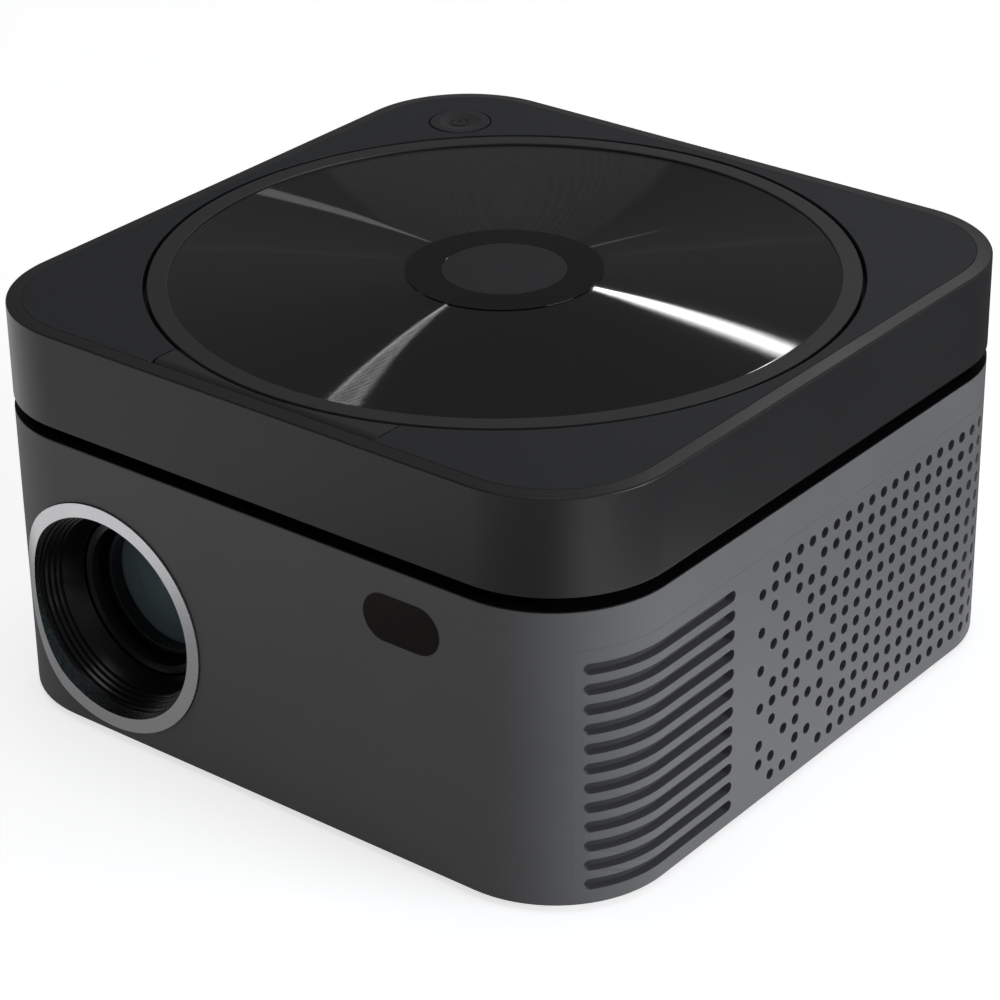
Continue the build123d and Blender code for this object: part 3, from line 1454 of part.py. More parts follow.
with BuildPart() as hdmi_socket:
    with BuildSketch(Plane.XZ.offset(-board_back)):
        with Locations((hdmi_x, socket_z)):
            Rectangle(hdmi_width, hdmi_height)
    extrude(amount=-(socket_back - board_back))
    with BuildSketch(Plane.XZ.offset(-socket_back)):
        with Locations((hdmi_x, socket_z)):
            Rectangle(hdmi_width - 2 * socket_shell, hdmi_height - 2 * socket_shell)
            Rectangle(hdmi_tongue_width, hdmi_tongue, mode=Mode.SUBTRACT)
    extrude(amount=socket_back - board_back - socket_floor, mode=Mode.SUBTRACT)

with BuildPart() as usb_socket:
    with BuildSketch(Plane.XZ.offset(-board_back)):
        with Locations((usb_x, socket_z)):
            Rectangle(usb_width, usb_height)
    extrude(amount=-(socket_back - board_back))
    with BuildSketch(Plane.XZ.offset(-socket_back)):
        with Locations((usb_x, socket_z)):
            Rectangle(usb_width - 2 * socket_shell, usb_height - 2 * socket_shell)
        with Locations((usb_x, socket_z + usb_tongue_rise)):
            Rectangle(usb_tongue_width, usb_tongue, mode=Mode.SUBTRACT)
    extrude(amount=socket_back - board_back - socket_floor, mode=Mode.SUBTRACT)

with BuildPart() as av_jack:
    with BuildSketch(Plane.XZ.offset(-board_back)):
        with Locations((av_x, socket_z)):
            Rectangle(jack_body, jack_body)
    extrude(amount=-(wall_inner - board_back))
    with BuildSketch(Plane.XZ.offset(-wall_inner)):
        with Locations((av_x, socket_z)):
            Circle(jack_nose)
    extrude(amount=-(wall + socket_stand))
    with BuildSketch(Plane.XZ.offset(-socket_back)):
        with Locations((av_x, socket_z)):
            Circle(jack_bore)
    extrude(amount=jack_depth, mode=Mode.SUBTRACT)

# the headphone jack is the same part, further along the wall
with BuildPart() as headphone_jack:
    add(Pos(headphone_x - av_x, 0, 0) * av_jack.part)

power_board_base = base_top + standoff_height
power_board_top = power_board_base + board_thickness

with BuildPart() as dc_jack:
    dc_body_height = dc_z + dc_body / 2 - power_board_top
    with BuildSketch(Plane.XZ.offset(-wall_inner)):
        with Locations((dc_x, power_board_top + dc_body_height / 2)):
            Rectangle(dc_body, dc_body_height)
    extrude(amount=dc_body_depth)
    with BuildSketch(Plane.XZ.offset(-wall_inner)):
        with Locations((dc_x, dc_z)):
            Circle(dc_nose)
    extrude(amount=-(wall + socket_stand))
    with BuildSketch(Plane.XZ.offset(-socket_back)):
        with Locations((dc_x, dc_z)):
            Circle(dc_bore)
            Circle(dc_pin, mode=Mode.SUBTRACT)
    extrude(amount=dc_depth, mode=Mode.SUBTRACT)

with BuildPart() as power_board:
    with BuildSketch(Plane.XY.offset(power_board_base)):
        with Locations((power_board_x, power_board_y)):
            Rectangle(power_board_width, power_board_depth)
    extrude(amount=board_thickness)
    with BuildSketch(Plane.XY.offset(power_board_top)):
        with Locations((power_board_x - power_coil_reach, power_board_y - power_coil_shift),
                       (power_board_x + power_coil_reach, power_board_y - power_coil_shift)):
            Circle(power_coil_radius)
    extrude(amount=power_coil_height)
    with BuildSketch(Plane.XY.offset(power_board_top)):
        with Locations((power_board_x, power_board_y - power_coil_shift)):
            Rectangle(power_chip_width, power_chip_depth)
    extrude(amount=power_chip_height)

# ================================================================ labels and files

base_plate.part.label = "base_plate"
export_step(base_plate.part, "parts/base_plate.step")
rubber_feet.part.label = "rubber_feet"
export_step(rubber_feet.part, "parts/rubber_feet.step")
case_screws.part.label = "case_screws"
export_step(case_screws.part, "parts/case_screws.step")
tripod_nut.part.label = "tripod_nut"
export_step(tripod_nut.part, "parts/tripod_nut.step")
lower_housing.part.label = "lower_housing"
export_step(lower_housing.part, "parts/lower_housing.step")
side_grille.part.label = "side_grille"
export_step(side_grille.part, "parts/side_grille.step")
dust_filter.part.label = "dust_filter"
export_step(dust_filter.part, "parts/dust_filter.step")
speaker_cloth.part.label = "speaker_cloth"
export_step(speaker_cloth.part, "parts/speaker_cloth.step")
intake_grille.part.label = "intake_grille"
export_step(intake_grille.part, "parts/intake_grille.step")
mid_frame.part.label = "mid_frame"
export_step(mid_frame.part, "parts/mid_frame.step")
upper_housing.part.label = "upper_housing"
export_step(upper_housing.part, "parts/upper_housing.step")
top_plate.part.label = "top_plate"
export_step(top_plate.part, "parts/top_plate.step")
hinge_pin.part.label = "hinge_pin"
export_step(hinge_pin.part, "parts/hinge_pin.step")
lid_frame.part.label = "lid_frame"
export_step(lid_frame.part, "parts/lid_frame.step")
lid_plate.part.label = "lid_plate"
export_step(lid_plate.part, "parts/lid_plate.step")
hub_ring.part.label = "hub_ring"
export_step(hub_ring.part, "parts/hub_ring.step")
hub_badge.part.label = "hub_badge"
export_step(hub_badge.part, "parts/hub_badge.step")
lid_striker.part.label = "lid_striker"
export_step(lid_striker.part, "parts/lid_striker.step")
latch_housing.part.label = "latch_housing"
export_step(latch_housing.part, "parts/latch_housing.step")
latch_plunger.part.label = "latch_plunger"
export_step(latch_plunger.part, "parts/latch_plunger.step")
power_button.part.label = "power_button"
export_step(power_button.part, "parts/power_button.step")
key_board.part.label = "key_board"
export_step(key_board.part, "parts/key_board.step")
disc_well.part.label = "disc_well"
export_step(disc_well.part, "parts/disc_well.step")
turntable.part.label = "turntable"
export_step(turntable.part, "parts/turntable.step")
turntable_pad.part.label = "turntable_pad"
export_step(turntable_pad.part, "parts/turntable_pad.step")
centring_balls.part.label = "centring_balls"
export_step(centring_balls.part, "parts/centring_balls.step")
spindle_motor.part.label = "spindle_motor"
export_step(spindle_motor.part, "parts/spindle_motor.step")
traverse_chassis.part.label = "traverse_chassis"
export_step(traverse_chassis.part, "parts/traverse_chassis.step")
guide_rods.part.label = "guide_rods"
export_step(guide_rods.part, "parts/guide_rods.step")
damper_grommets.part.label = "damper_grommets"
export_step(damper_grommets.part, "parts/damper_grommets.step")
lead_screw.part.label = "lead_screw"
export_step(lead_screw.part, "parts/lead_screw.step")
sled_motor.part.label = "sled_motor"
export_step(sled_motor.part, "parts/sled_motor.step")
pickup_sled.part.label = "pickup_sled"
export_step(pickup_sled.part, "parts/pickup_sled.step")
objective_lens.part.label = "objective_lens"
export_step(objective_lens.part, "parts/objective_lens.step")
lens_bezel.part.label = "lens_bezel"
export_step(lens_bezel.part, "parts/lens_bezel.step")
lens_baffle.part.label = "lens_baffle"
export_step(lens_baffle.part, "parts/lens_baffle.step")
focus_ring.part.label = "focus_ring"
export_step(focus_ring.part, "parts/focus_ring.step")
lens_sleeve.part.label = "lens_sleeve"
export_step(lens_sleeve.part, "parts/lens_sleeve.step")
lens_cell.part.label = "lens_cell"
export_step(lens_cell.part, "parts/lens_cell.step")
front_lens.part.label = "front_lens"
export_step(front_lens.part, "parts/front_lens.step")
ir_window.part.label = "ir_window"
export_step(ir_window.part, "parts/ir_window.step")
receiver_board.part.label = "receiver_board"
export_step(receiver_board.part, "parts/receiver_board.step")
engine_case.part.label = "engine_case"
export_step(engine_case.part, "parts/engine_case.step")
engine_cover.part.label = "engine_cover"
export_step(engine_cover.part, "parts/engine_cover.step")
lcd_panel.part.label = "lcd_panel"
export_step(lcd_panel.part, "parts/lcd_panel.step")
fresnel_lenses.part.label = "fresnel_lenses"
export_step(fresnel_lenses.part, "parts/fresnel_lenses.step")
condenser_lens.part.label = "condenser_lens"
export_step(condenser_lens.part, "parts/condenser_lens.step")
fold_mirror.part.label = "fold_mirror"
export_step(fold_mirror.part, "parts/fold_mirror.step")
led_module.part.label = "led_module"
export_step(led_module.part, "parts/led_module.step")
heat_sink.part.label = "heat_sink"
export_step(heat_sink.part, "parts/heat_sink.step")
fan_frame.part.label = "fan_frame"
export_step(fan_frame.part, "parts/fan_frame.step")
fan_impeller.part.label = "fan_impeller"
export_step(fan_impeller.part, "parts/fan_impeller.step")
speaker.part.label = "speaker"
export_step(speaker.part, "parts/speaker.step")
main_board.part.label = "main_board"
export_step(main_board.part, "parts/main_board.step")
hdmi_socket.part.label = "hdmi_socket"
export_step(hdmi_socket.part, "parts/hdmi_socket.step")
usb_socket.part.label = "usb_socket"
export_step(usb_socket.part, "parts/usb_socket.step")
av_jack.part.label = "av_jack"
export_step(av_jack.part, "parts/av_jack.step")
headphone_jack.part.label = "headphone_jack"
export_step(headphone_jack.part, "parts/headphone_jack.step")
dc_jack.part.label = "dc_jack"
export_step(dc_jack.part, "parts/dc_jack.step")
power_board.part.label = "power_board"
export_step(power_board.part, "parts/power_board.step")
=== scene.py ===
import json
from math import cos, pi, radians, sin, tan

import bmesh
import bpy
from mathutils import Matrix, Vector


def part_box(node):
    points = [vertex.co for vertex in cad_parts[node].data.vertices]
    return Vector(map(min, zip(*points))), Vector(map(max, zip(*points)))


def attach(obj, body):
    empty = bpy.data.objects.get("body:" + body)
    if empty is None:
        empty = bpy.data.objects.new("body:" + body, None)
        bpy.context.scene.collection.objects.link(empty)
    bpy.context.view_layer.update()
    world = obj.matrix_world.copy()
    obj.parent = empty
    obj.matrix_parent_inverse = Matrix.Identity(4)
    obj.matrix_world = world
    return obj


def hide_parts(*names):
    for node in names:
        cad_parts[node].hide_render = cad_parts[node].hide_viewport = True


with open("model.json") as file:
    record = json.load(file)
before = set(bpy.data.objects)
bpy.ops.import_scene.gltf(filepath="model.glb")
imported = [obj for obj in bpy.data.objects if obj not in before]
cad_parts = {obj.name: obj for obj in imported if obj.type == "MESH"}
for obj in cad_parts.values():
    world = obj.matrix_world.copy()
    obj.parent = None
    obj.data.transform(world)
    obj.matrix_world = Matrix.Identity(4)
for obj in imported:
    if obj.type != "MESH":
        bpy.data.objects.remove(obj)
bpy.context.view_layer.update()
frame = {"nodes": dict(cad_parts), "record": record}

# A square projector with a disc player under its round lid. Sizes are in millimetres, and MM turns
# them into Blender's metres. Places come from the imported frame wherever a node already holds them.
MM = 0.001
nodes = frame["nodes"]


def low(node):
    """A node's lowest corner, in millimetres."""
    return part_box(node)[0] / MM


def high(node):
    """A node's highest corner, in millimetres."""
    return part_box(node)[1] / MM


def middle(node):
    """The middle of a node's box, in millimetres."""
    return (low(node) + high(node)) / 2


# ---------------------------------------------------------------- sizes read from the frame
lens_x = middle("lens_cell").x
lens_z = middle("lens_cell").z

# ---------------------------------------------------------------- camera, at the photograph's viewpoint
camera_place = Vector((484.57, -610.31, 457.11)) * MM
camera_right = Vector((0.78577078, 0.61837907, -0.01310021))
camera_up = Vector((-0.2800811, 0.37462188, 0.88386256))
camera_back = Vector((0.55146973, -0.69084425, 0.46756322))
photo_lens = 118.48

camera_data = bpy.data.cameras.new("camera")
camera_data.lens = photo_lens
camera_data.sensor_width = 36
camera = bpy.data.objects.new("camera", camera_data)
camera.matrix_world = Matrix.Translation(camera_place) @ Matrix(
    (camera_right, camera_up, camera_back)).transposed().to_4x4()
bpy.context.scene.collection.objects.link(camera)
bpy.context.scene.camera = camera
bpy.context.scene.view_settings.view_transform = "Standard"


# ================================================================ how materials are written

class Value:
    """A socket of a material, wrapped so that shader maths reads as ordinary sums."""

    def __init__(self, paint, socket):
        self.paint = paint
        self.socket = socket

    def __add__(self, other):
        return self.paint.maths("ADD", self, other)

    def __sub__(self, other):
        return self.paint.maths("SUBTRACT", self, other)

    def __rsub__(self, other):
        return self.paint.maths("SUBTRACT", other, self)

    def __mul__(self, other):
        return self.paint.maths("MULTIPLY", self, other)

    __radd__ = __add__
    __rmul__ = __mul__


class Paint:
    """A material on a Principled shader, whose patterns read Object coordinates."""

    def __init__(self, name, **fixed):
        self.material = bpy.data.materials.new(name)
        self.material.use_nodes = True
        self.tree = self.material.node_tree
        self.shader = self.tree.nodes["Principled BSDF"]
        for socket, value in fixed.items():
            self.shader.inputs[socket.replace("_", " ")].default_value = value
        self.place = self.add("ShaderNodeTexCoord").outputs["Object"]

    def add(self, kind, settings=None, inputs=None, stops=None):
        """One node, with its settings made first and then its sockets filled or linked."""
        node = self.tree.nodes.new(kind)
        for name, value in (settings or {}).items():
            setattr(node, name, value)
        if stops:
            ramp = node.color_ramp
            while len(ramp.elements) < len(stops):
                ramp.elements.new(1.0)
            for element, (position, level) in zip(ramp.elements, stops):
                element.position = position
                element.color = grey(level)
        for key, value in (inputs or {}).items():
            self.feed(node.inputs[key], value)
        return node

    def feed(self, socket, value):
        """Links a value to a socket, or sets the socket to a plain number or colour."""
        if isinstance(value, Value):
            value = value.socket
        if isinstance(value, bpy.types.NodeSocket):
            self.tree.links.new(value, socket)
        else:
            socket.default_value = value

    def maths(self, operation, *values):
        """One sum on wrapped sockets or plain numbers."""
        node = self.add("ShaderNodeMath", {"operation": operation}, dict(enumerate(values)))
        return Value(self, node.outputs[0])

    def stretch(self, scale):
        """Object coordinates, scaled along each axis."""
        return self.add("ShaderNodeMapping", None, {"Vector": self.place, "Scale": scale}).outputs[0]

    def axes(self):
        """The three Object coordinates, in metres."""
        node = self.add("ShaderNodeSeparateXYZ", None, {0: self.place})
        return [Value(self, socket) for socket in node.outputs]

    def noise(self, scale, detail=2.0, roughness=0.5, place=None):
        """Cloudy noise about 0.5, with scale patches to the metre."""
        node = self.add("ShaderNodeTexNoise", None, {"Vector": place or self.place, "Scale": scale,
                                                     "Detail": detail, "Roughness": roughness})
        return Value(self, node.outputs[0])

    def ramp(self, value, *stops):
        """A level read from a value through (position, level) stops."""
        node = self.add("ShaderNodeValToRGB", None, {0: value}, stops)
        return Value(self, node.outputs[0])

    def mix(self, factor, first, second):
        """A colour between two colours."""
        node = self.add("ShaderNodeMix", {"data_type": "RGBA"}, {0: factor, 6: first, 7: second})
        return node.outputs[2]

    def bump(self, height, depth):
        """A bump of depth millimetres for a height from 0 to 1."""
        inputs = {"Height": height, "Strength": 1.0, "Distance": depth * MM}
        return self.add("ShaderNodeBump", None, inputs).outputs[0]

    def set(self, **links):
        """Feeds the shader's sockets, and gives the material."""
        for socket, value in links.items():
            self.feed(self.shader.inputs[socket.replace("_", " ")], value)
        return self.material


def tone(red, green=None, blue=None):
    """A colour written as it looks on a screen, from 0 to 255, as Blender's linear colour."""
    parts = (red, red if green is None else green, red if blue is None else blue)
    return tuple((part / 255 / 12.92) if part <= 10 else ((part / 255 + 0.055) / 1.055) ** 2.4
                 for part in parts) + (1,)


def grey(level):
    """A grey of a linear level."""
    return (level, level, level, 1)


def shade(colour, factor):
    """A colour made darker or lighter by a factor."""
    return tuple(part * factor for part in colour[:3]) + (1,)


def moulded(name, colour, roughness=0.42, grain=0.004, specular=0.5, painted_shade_above=None):
    """Moulded plastic: fine spark-eroded grain, and a slow drift in colour and gloss. Above a height in
    millimetres, where one is given, it is painted black as painted shade."""
    paint = Paint(name, Specular_IOR_Level=specular)
    cloud = paint.noise(38, 3)
    fine = paint.noise(5200, 2, 0.6)
    base = paint.mix(cloud, shade(colour, 0.92), shade(colour, 1.08))
    if painted_shade_above is not None:
        # above the height the colour is painted black: painted shade
        painted_shade_mask = paint.maths("GREATER_THAN", paint.axes()[2], painted_shade_above * MM)
        base = paint.mix(painted_shade_mask, base, tone(3))
    return paint.set(
        Base_Color=base,
        Roughness=roughness + (cloud - 0.5) * 0.08 + (fine - 0.5) * 0.06,
        Normal=paint.bump(fine, grain))


def metal(name, colour, roughness=0.3, brushed=(1, 1, 1), depth=0.002):
    """Bare or plated metal with fine marks, drawn out along an axis where brushed says so."""
    paint = Paint(name, Metallic=1.0)
    marks = paint.noise(900, 4, 0.6, paint.stretch(brushed))
    cloud = paint.noise(60, 3)
    return paint.set(
        Base_Color=paint.mix(cloud, shade(colour, 0.9), shade(colour, 1.06)),
        Roughness=roughness + (marks - 0.5) * 0.18,
        Normal=paint.bump(marks, depth))


def rubber(name, colour):
    """Dull rubber with a little dust on it."""
    paint = Paint(name, Specular_IOR_Level=0.3)
    dust = paint.noise(260, 4, 0.7)
    return paint.set(
        Base_Color=paint.mix(dust, shade(colour, 0.85), shade(colour, 1.3)),
        Roughness=0.75 + dust * 0.15,
        Normal=paint.bump(dust, 0.02))


def glass(name, colour, alpha, roughness=0.03, painted_edge_sheen=None, coating=(1, 1, 1, 1)):
    """Clear or coated glass. Where an edge sheen is given, the colour turns to it where the glass turns
    away from the eye, a painted sheen, and the coating colours what the glass mirrors."""
    paint = Paint(name, IOR=1.7, Specular_Tint=coating)
    smear = paint.noise(120, 3)
    edge = paint.add("ShaderNodeLayerWeight", None, {"Blend": 0.3}).outputs["Facing"]
    return paint.set(
        # the colour turns paler where the glass turns away from the eye: a painted sheen
        Base_Color=paint.mix(edge, colour, painted_edge_sheen or colour),
        Roughness=roughness + smear * 0.03,
        Alpha=alpha)


def woven(name, colour, pitch, depth):
    """Fine mesh cloth: threads crossing along the height and the side."""
    paint = Paint(name, Specular_IOR_Level=0.2)
    x, y, z = paint.axes()
    turns = 2 * pi / (pitch * MM)
    threads = paint.maths("SINE", (x + y) * turns) * paint.maths("SINE", z * turns)
    weave = threads * 0.5 + 0.5
    return paint.set(
        Base_Color=paint.mix(weave, shade(colour, 0.45), shade(colour, 1.25)),
        Roughness=0.85 - weave * 0.1,
        Normal=paint.bump(weave, depth))


def circuit(name, colour):
    """Printed board: solder mask over copper runs."""
    paint = Paint(name, Specular_IOR_Level=0.5)
    runs = paint.add("ShaderNodeTexVoronoi", {"distance": "MANHATTAN", "feature": "F1"},
                     {"Vector": paint.place, "Scale": 420.0}).outputs["Distance"]
    track = paint.ramp(Value(paint, runs), (0.42, 0.0), (0.46, 1.0))
    return paint.set(
        Base_Color=paint.mix(track, colour, shade(colour, 1.9)),
        Roughness=0.32 + track * 0.1,
        Normal=paint.bump(track, 0.03))


# the lower housing is painted black, as painted shade in the recess under the band, from this far below the
# band upwards
ledge_drop = 0.35

upper_paint = moulded("satin_upper_shell", tone(36, 36, 36), 0.34, specular=0.3)
# the lower shell is painted black near the band: painted shade in the recess between the shells
lower_paint = moulded("satin_lower_shell", tone(100, 100, 100), 0.55, specular=0.25,
                      painted_shade_above=low("mid_frame").z - ledge_drop)
top_paint = moulded("satin_top_plate", tone(45, 46, 48), 0.5, specular=0.22)
gap_paint = moulded("matt_black_band", tone(5), 0.9, grain=0.01, specular=0.0)
ring_paint = moulded("satin_lid_ring", tone(50, 50, 49), 0.45, specular=0.3)
hub_paint = moulded("gloss_hub_ring", tone(9), 0.1, grain=0.0004, specular=0.2)
badge_paint = moulded("satin_hub_centre", tone(38, 38, 40), 0.45, specular=0.25)
button_paint = moulded("satin_button", tone(38, 38, 40), 0.42, specular=0.3)
lens_black = moulded("lens_barrel_black", tone(17, 17, 18), 0.24, grain=0.001, specular=0.5)
inner_paint = moulded("inner_plastic", tone(36, 36, 38), 0.55, grain=0.01, specular=0.35)
white_plastic = moulded("white_plastic", tone(205, 205, 200), 0.45)
foot_rubber = rubber("foot_rubber", tone(24))
steel = metal("zinc_plated_steel", tone(178, 180, 184), 0.3)
bezel_metal = metal("satin_bezel", tone(196, 196, 198), 0.26, depth=0.0003)
brass = metal("turned_brass", tone(206, 172, 104), 0.25)
alloy = metal("extruded_alloy", tone(190, 192, 196), 0.35, (0.1, 4, 4))
filter_cloth = woven("dust_filter_mesh", tone(70, 70, 74), 0.5, 0.05)
speaker_cloth = woven("speaker_mesh", tone(40, 42, 45), 0.45, 0.05)
board_paint = circuit("solder_mask", tone(28, 92, 52))
clear_glass = glass("clear_lens", tone(225, 232, 232), 0.3)
# the coated glass is painted pale grey-blue, a painted reflection, and paler still towards its edges as a
# painted sheen
coated_glass = glass("coated_glass", tone(110, 120, 126), 0.5, 0.02, tone(170, 205, 208),
                     tone(205, 255, 252))
mirror_paint = metal("front_mirror", tone(235, 236, 238), 0.04, depth=0.0002)


def receiver_paint():
    """Dark red filter plastic that hides the receiver behind it."""
    paint = Paint("receiver_filter", Specular_IOR_Level=0.1)
    cloud = paint.noise(90, 2)
    return paint.set(
        Base_Color=paint.mix(cloud, tone(28, 18, 18), tone(32, 21, 21)),
        Roughness=0.2 + cloud * 0.05)


def disc_paint():
    """The gloss black of the lid's turned disc."""
    paint = Paint("turned_gloss_black", Specular_IOR_Level=0.5)
    smear = paint.noise(45, 3)
    return paint.set(
        Base_Color=paint.mix(smear, tone(20), tone(24)),
        Roughness=0.03 + smear * 0.015,
        Normal=paint.bump(paint.noise(4000, 2), 0.0001))


receiver_filter = receiver_paint()
turned_black = disc_paint()

# ================================================================ how pieces are made

# points this near, in millimetres, are one point, and faces this near to level, in degrees, are one face
merge_within = 0.001
flat_within = 0.4
# edges that turn by more than these degrees are broken, or shaded sharp
bevel_crease = 40
shading_crease = 35


def copied(node):
    """A joined copy of a CAD node's loose triangles, with its flat faces made whole."""
    shape = bmesh.new()
    shape.from_mesh(nodes[node].data)
    bmesh.ops.remove_doubles(shape, verts=shape.verts, dist=merge_within * MM)
    bmesh.ops.dissolve_limit(shape, angle_limit=radians(flat_within), verts=shape.verts, edges=shape.edges)
    return shape


def sharp_edges(shape, crease):
    """The edges whose two faces meet at more than an angle in degrees."""
    return [edge for edge in shape.edges
            if len(edge.link_faces) == 2 and edge.calc_face_angle() > radians(crease)]


def soften(shape, radius):
    """Breaks the sharp edges by a small radius, as a mould does."""
    bmesh.ops.bevel(shape, geom=sharp_edges(shape, bevel_crease), offset=radius * MM, offset_type="OFFSET",
                    segments=2, affect="EDGES", profile=0.5, material=-1, clamp_overlap=True)


def piece(name, shape, material, body, stands_for=(), crease=shading_crease):
    """Makes a bmesh a piece that rides on a body, with its flat faces flat and its curves smooth."""
    for face in shape.faces:
        face.smooth = True
    for edge in sharp_edges(shape, crease):
        edge.smooth = False
    mesh = bpy.data.meshes.new(name)
    shape.to_mesh(mesh)
    shape.free()
    made = bpy.data.objects.new(name, mesh)
    bpy.context.scene.collection.objects.link(made)
    mesh.materials.append(material)
    flat = made.modifiers.new("flat_faces", "WEIGHTED_NORMAL")
    flat.keep_sharp = True
    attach(made, body)
    if stands_for:
        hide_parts(*stands_for)


def turned(points, steps):
    """A shape turned on a lathe about Z, from a closed outline of (radius, height) points."""
    shape = bmesh.new()
    ring = [shape.verts.new((radius * MM, 0, height * MM)) for radius, height in points]
    edges = [shape.edges.new(pair) for pair in zip(ring, ring[1:] + ring[:1])]
    bmesh.ops.spin(shape, geom=ring + edges, cent=(0, 0, 0), axis=(0, 0, 1), angle=2 * pi,
                   steps=steps, use_merge=True)
    bmesh.ops.remove_doubles(shape, verts=shape.verts, dist=merge_within * MM)
    bmesh.ops.recalc_face_normals(shape, faces=shape.faces)
    return shape


# the record says which body each node rides on and which material slot it has
body_of_node = {name: body for body, members in frame["record"]["behaviour"]["bodies"].items()
                for name in members}
slot_of_node = {entry["node"]: entry["material_slot"] for entry in frame["record"]["subparts"]}

# ================================================================ nodes that keep their CAD shape

finish_of_slot = {
    "upper_shell": upper_paint, "lower_shell": lower_paint, "top_skin": top_paint, "gap_black": gap_paint,
    "lid_ring": ring_paint, "lid_disc": turned_black, "hub_black": hub_paint, "hub_grey": badge_paint,
    "button": button_paint, "bezel_metal": bezel_metal, "lens_black": lens_black,
    "coated_glass": coated_glass, "ir_filter": receiver_filter, "rubber_black": foot_rubber,
    "steel": steel, "brass": brass, "board_green": board_paint, "inner_plastic": inner_paint,
    "white_plastic": white_plastic, "alloy": alloy, "filter_mesh": filter_cloth,
    "speaker_mesh": speaker_cloth, "mirror_glass": mirror_paint, "clear_lens": clear_glass,
}
for name, node in nodes.items():
    for slot in node.material_slots:
        slot.material = finish_of_slot[slot_of_node[name]]

# ================================================================ nodes with broken edges and smooth curves

# a radius of 0 leaves the edges as they are, and only smooths the curves
edge_radius = {
    "lower_housing": 0.25, "side_grille": 0.2, "upper_housing": 0.25, "top_plate": 0.2, "mid_frame": 0.0,
    "lid_frame": 0.25, "hub_ring": 0.15, "hub_badge": 0.1, "power_button": 0.0, "ir_window": 0.2,
    "intake_grille": 0.2, "base_plate": 0.2, "rubber_feet": 0.4, "focus_ring": 0.15, "disc_well": 0.2,
    "turntable": 0.1, "turntable_pad": 0.1, "centring_balls": 0.0, "pickup_sled": 0.2,
    "objective_lens": 0.0, "traverse_chassis": 0.15, "lens_bezel": 0.3, "lens_baffle": 0.0,
    "lens_cell": 0.1, "front_lens": 0.0,
}
for node, radius in edge_radius.items():
    shape = copied(node)
    if radius:
        soften(shape, radius)
    slot_name = slot_of_node[node]
    piece(node + "_finished", shape, finish_of_slot[slot_name], body_of_node[node], [node])

# ================================================================ the lid's turned disc

ring_pitch = 0.7
ring_step = 0.06
ring_slopes = (6.0, 9.5, 13.0)
plain_rim = 0.5
rings_under_hub = 2
disc_steps = 160
disc_crease = 20


def turned_disc():
    """A disc turned in rounded rings that all lean outwards, which draws light into spokes."""
    top = high("lid_plate").z
    base = low("lid_plate").z
    rim = high("lid_plate").x - plain_rim
    hub = high("hub_ring").x - rings_under_hub * ring_pitch
    run = (ring_pitch - ring_step) / len(ring_slopes)
    drops = [run * tan(radians(slope)) for slope in ring_slopes]
    depth = sum(drops)
    points = [(0, base), (high("lid_plate").x, base), (high("lid_plate").x, top - depth)]
    reach = rim
    while reach - ring_pitch > hub:
        level = top - depth
        for step, drop in enumerate(reversed(drops)):
            points.append((reach - run * step, level))
            level += drop
        points.append((reach - ring_pitch + ring_step, top))
        reach -= ring_pitch
    points += [(reach, top - depth), (0, top - depth)]
    return turned(points, disc_steps)


piece("lid_disc_rings", turned_disc(), turned_black, "lid", ["lid_plate"], disc_crease)

# ================================================================ small marks

def block(centre, size, turn):
    """A box about a centre, turned about Z by an angle in degrees."""
    shape = bmesh.new()
    place = Matrix.Translation(Vector(centre) * MM) @ Matrix.Rotation(radians(turn), 4, "Z")
    bmesh.ops.create_cube(shape, size=1.0, matrix=place @ Matrix.Diagonal((*(Vector(size) * MM), 1)))
    return shape


def arc(centre, inner, outer, base, top, start, sweep, steps=32):
    """A flat bar bent round a centre, from a start angle through a sweep, in degrees."""
    shape = bmesh.new()
    middle_point = Vector((*centre, 0))
    turn = Matrix.Rotation(radians(start), 3, "Z")
    corners = [turn @ Vector((radius, 0, height)) for radius, height in
               ((inner, base), (outer, base), (outer, top), (inner, top))]
    verts = [shape.verts.new((middle_point + corner) * MM) for corner in corners]
    face = shape.faces.new(verts)
    bmesh.ops.spin(shape, geom=verts + list(face.edges) + [face], cent=middle_point * MM,
                   axis=(0, 0, 1), angle=radians(sweep), steps=steps)
    bmesh.ops.recalc_face_normals(shape, faces=shape.faces)
    return shape


# the power sign stands a little proud of the button's dish, with its bar towards the back left corner
button = middle("power_button")
button_top = high("power_button").z
sign_foot_depth = 0.5
sign_face_depth = 0.26
sign_base = button_top - sign_foot_depth
sign_top = button_top - sign_face_depth
sign_turn = 135.0
sign_radius = 2.9
sign_line = 0.5
sign_gap = 80.0
sign_ring = arc((button.x, button.y), sign_radius - sign_line, sign_radius, sign_base, sign_top,
                sign_turn + sign_gap / 2, 360 - sign_gap)
piece("power_sign_ring", sign_ring, button_paint, "power_key")

bar_length = sign_radius * 0.9
bar_middle = sign_radius * 0.75
bar_place = (button.x + bar_middle * cos(radians(sign_turn)),
             button.y + bar_middle * sin(radians(sign_turn)),
             (sign_base + sign_top) / 2)
sign_bar = block(bar_place, (bar_length, sign_line, sign_top - sign_base), sign_turn)
piece("power_sign_bar", sign_bar, button_paint, "power_key")

# the white index line on the front face of the lens cell
index_turn = -25.0
index_radius = 18.7
index_size = (1.8, 0.3, 0.1)
index_line = block((0, 0, 0), index_size, index_turn)
stand = Matrix.Rotation(radians(90), 4, "X")
bmesh.ops.transform(index_line, matrix=stand, verts=index_line.verts)
index_place = Vector((lens_x + index_radius * cos(radians(index_turn)),
                      low("lens_cell").y,
                      lens_z + index_radius * sin(radians(index_turn))))
bmesh.ops.translate(index_line, verts=index_line.verts, vec=index_place * MM)
piece("lens_index_line", index_line, white_plastic, "lens")

# ================================================================ studio

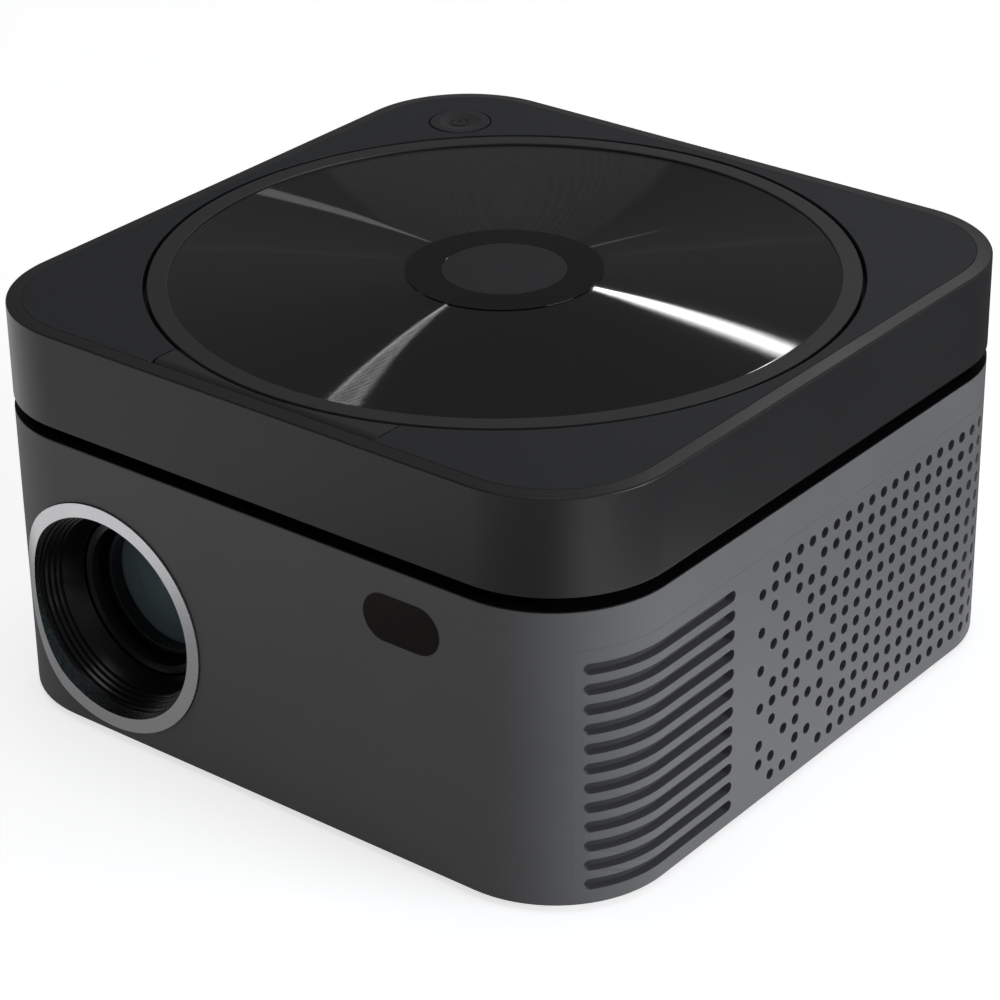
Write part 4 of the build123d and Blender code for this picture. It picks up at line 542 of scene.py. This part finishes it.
# the studio's places and sizes are in metres
strip_reach = 5.0
band_top = 0.06
band_colour = grey(0.9)
sky_colour = (0.15, 0.153, 0.16, 1)
floor_reach = 6.0
camera_white = 0.68
painted_reflection_white = 1.15
# how brightly the floor glows in reflections only, painted reflections on the object, at stops from the
# front left to the back right
painted_reflection_spread = 1.25
painted_reflection_stops = ((0.13, 0.66), (0.2, 0.2), (0.48, 0.2), (0.57, 0.8), (0.66, 1.0), (0.74, 0.6), (0.8, 0.02))
# the watts that a square metre of lamp needs to show as white
white_watts = 4


def lamp(name, place, across, up, size, strength, colour=(1, 1, 1)):
    """A rectangular lamp whose sides run along across and up. Strength is its brightness, 1 being white."""
    data = bpy.data.lights.new(name, "AREA")
    data.shape = "RECTANGLE"
    data.size, data.size_y = size
    data.energy = strength * size[0] * size[1] * white_watts
    data.color = colour
    across = Vector(across).normalized()
    facing = across.cross(Vector(up)).normalized()
    upward = facing.cross(across)
    light = bpy.data.objects.new(name, data)
    light.matrix_world = Matrix.Translation(place) @ Matrix((across, upward, facing)).transposed().to_4x4()
    bpy.context.scene.collection.objects.link(light)


def softbox(name, place, aim, size, strength, colour=(1, 1, 1)):
    """A lamp that looks at a point, with its upper side level."""
    back = Vector(place) - Vector(aim)
    across = Vector((0, 0, 1)).cross(back)
    lamp(name, place, across, back.cross(across), size, strength, colour)


def strip(name, spoke, lean_low, lean_high, width, strength):
    """A strip lamp that the disc's rings draw into a spoke at an angle, seen from the camera's side."""
    hub = Vector((0, 0, high("lid_plate").z * MM))
    seen = (camera_place - hub).normalized()
    ends = []
    for lean in (lean_low, lean_high):
        ridge = Vector((sin(radians(lean)) * cos(radians(spoke)), sin(radians(lean)) * sin(radians(spoke)),
                        cos(radians(lean))))
        ends.append(hub + strip_reach * (2 * seen.dot(ridge) * ridge - seen))
    place = (ends[0] + ends[1]) / 2
    along = ends[1] - ends[0]
    back = place - hub
    across = along.cross(back)
    lamp(name, place, across, back.cross(across), (width, along.length), strength)


def studio_world():
    """A grey studio with a white band at the horizon."""
    world = bpy.data.worlds.new("studio")
    world.use_nodes = True
    tree = world.node_tree
    background = tree.nodes["Background"]
    direction = tree.nodes.new("ShaderNodeTexCoord")
    parts = tree.nodes.new("ShaderNodeSeparateXYZ")
    ramp = tree.nodes.new("ShaderNodeValToRGB")
    stops = ((0.0, band_colour), (band_top, sky_colour))
    for element, (position, colour) in zip(ramp.color_ramp.elements, stops):
        element.position = position
        element.color = colour
    tree.links.new(direction.outputs["Generated"], parts.inputs[0])
    tree.links.new(parts.outputs["Z"], ramp.inputs[0])
    tree.links.new(ramp.outputs[0], background.inputs["Color"])
    bpy.context.scene.world = world


def studio_floor():
    """A floor that shows white to the camera and keeps the object's shadow. In reflections it glows, as
    painted reflections on the object, far out at the front left and in one slanting band by the object, and
    elsewhere it is painted dark, a painted dark reflection."""
    shape = bmesh.new()
    bmesh.ops.create_grid(shape, x_segments=1, y_segments=1, size=floor_reach)
    mesh = bpy.data.meshes.new("floor")
    shape.to_mesh(mesh)
    shape.free()
    floor = bpy.data.objects.new("floor", mesh)
    bpy.context.scene.collection.objects.link(floor)
    paint = Paint("pale_floor", Specular_IOR_Level=0.0, Emission_Strength=1.0)
    cloud = paint.noise(2, 2)
    paths = paint.add("ShaderNodeLightPath").outputs
    seen = Value(paint, paths["Is Camera Ray"]) + Value(paint, paths["Is Transmission Ray"])
    x, y = paint.axes()[:2]
    painted_reflection_band = paint.ramp((x + y) * painted_reflection_spread + 0.5, *painted_reflection_stops)
    gloss = Value(paint, paths["Is Glossy Ray"])
    bare = paint.mix(cloud, grey(0.79), grey(0.81))
    # the floor glows in reflections only, in the band: a painted reflection
    painted_reflection_glow = paint.mix(gloss * painted_reflection_band, grey(0), grey(painted_reflection_white))
    paint.set(
        # outside the band, reflections see a floor painted dark: a painted dark reflection
        Base_Color=paint.mix(gloss * (1 - painted_reflection_band), bare, grey(0.08)),
        Roughness=0.9 - cloud * 0.05,
        Emission_Color=paint.mix(seen, painted_reflection_glow, grey(camera_white)))
    mesh.materials.append(paint.material)


studio_world()
studio_floor()
target = (0, 0, 0.06)  # the middle of the object
softbox("right_key", (1.6, 0.35, 0.32), target, size=(1.0, 0.6), strength=8.6, colour=(0.95, 0.98, 1.04))
softbox("overhead_fill", (0.0, -0.1, 1.9), target, size=(0.9, 0.9), strength=1.8)
softbox("left_window", (-1.6, -0.7, 0.32), target, size=(0.5, 0.4), strength=2.0)
softbox("back_strip", (1.05, 1.15, 0.72), target, size=(0.5, 0.06), strength=3.5)
strip("spoke_strip_right", 13.0, lean_low=9.0, lean_high=15.0, width=0.08, strength=30)
strip("spoke_strip_front", -89.3, lean_low=9.0, lean_high=15.0, width=0.018, strength=12)
strip("soft_sector_back", 131.0, lean_low=7.0, lean_high=15.0, width=1.0, strength=0.13)
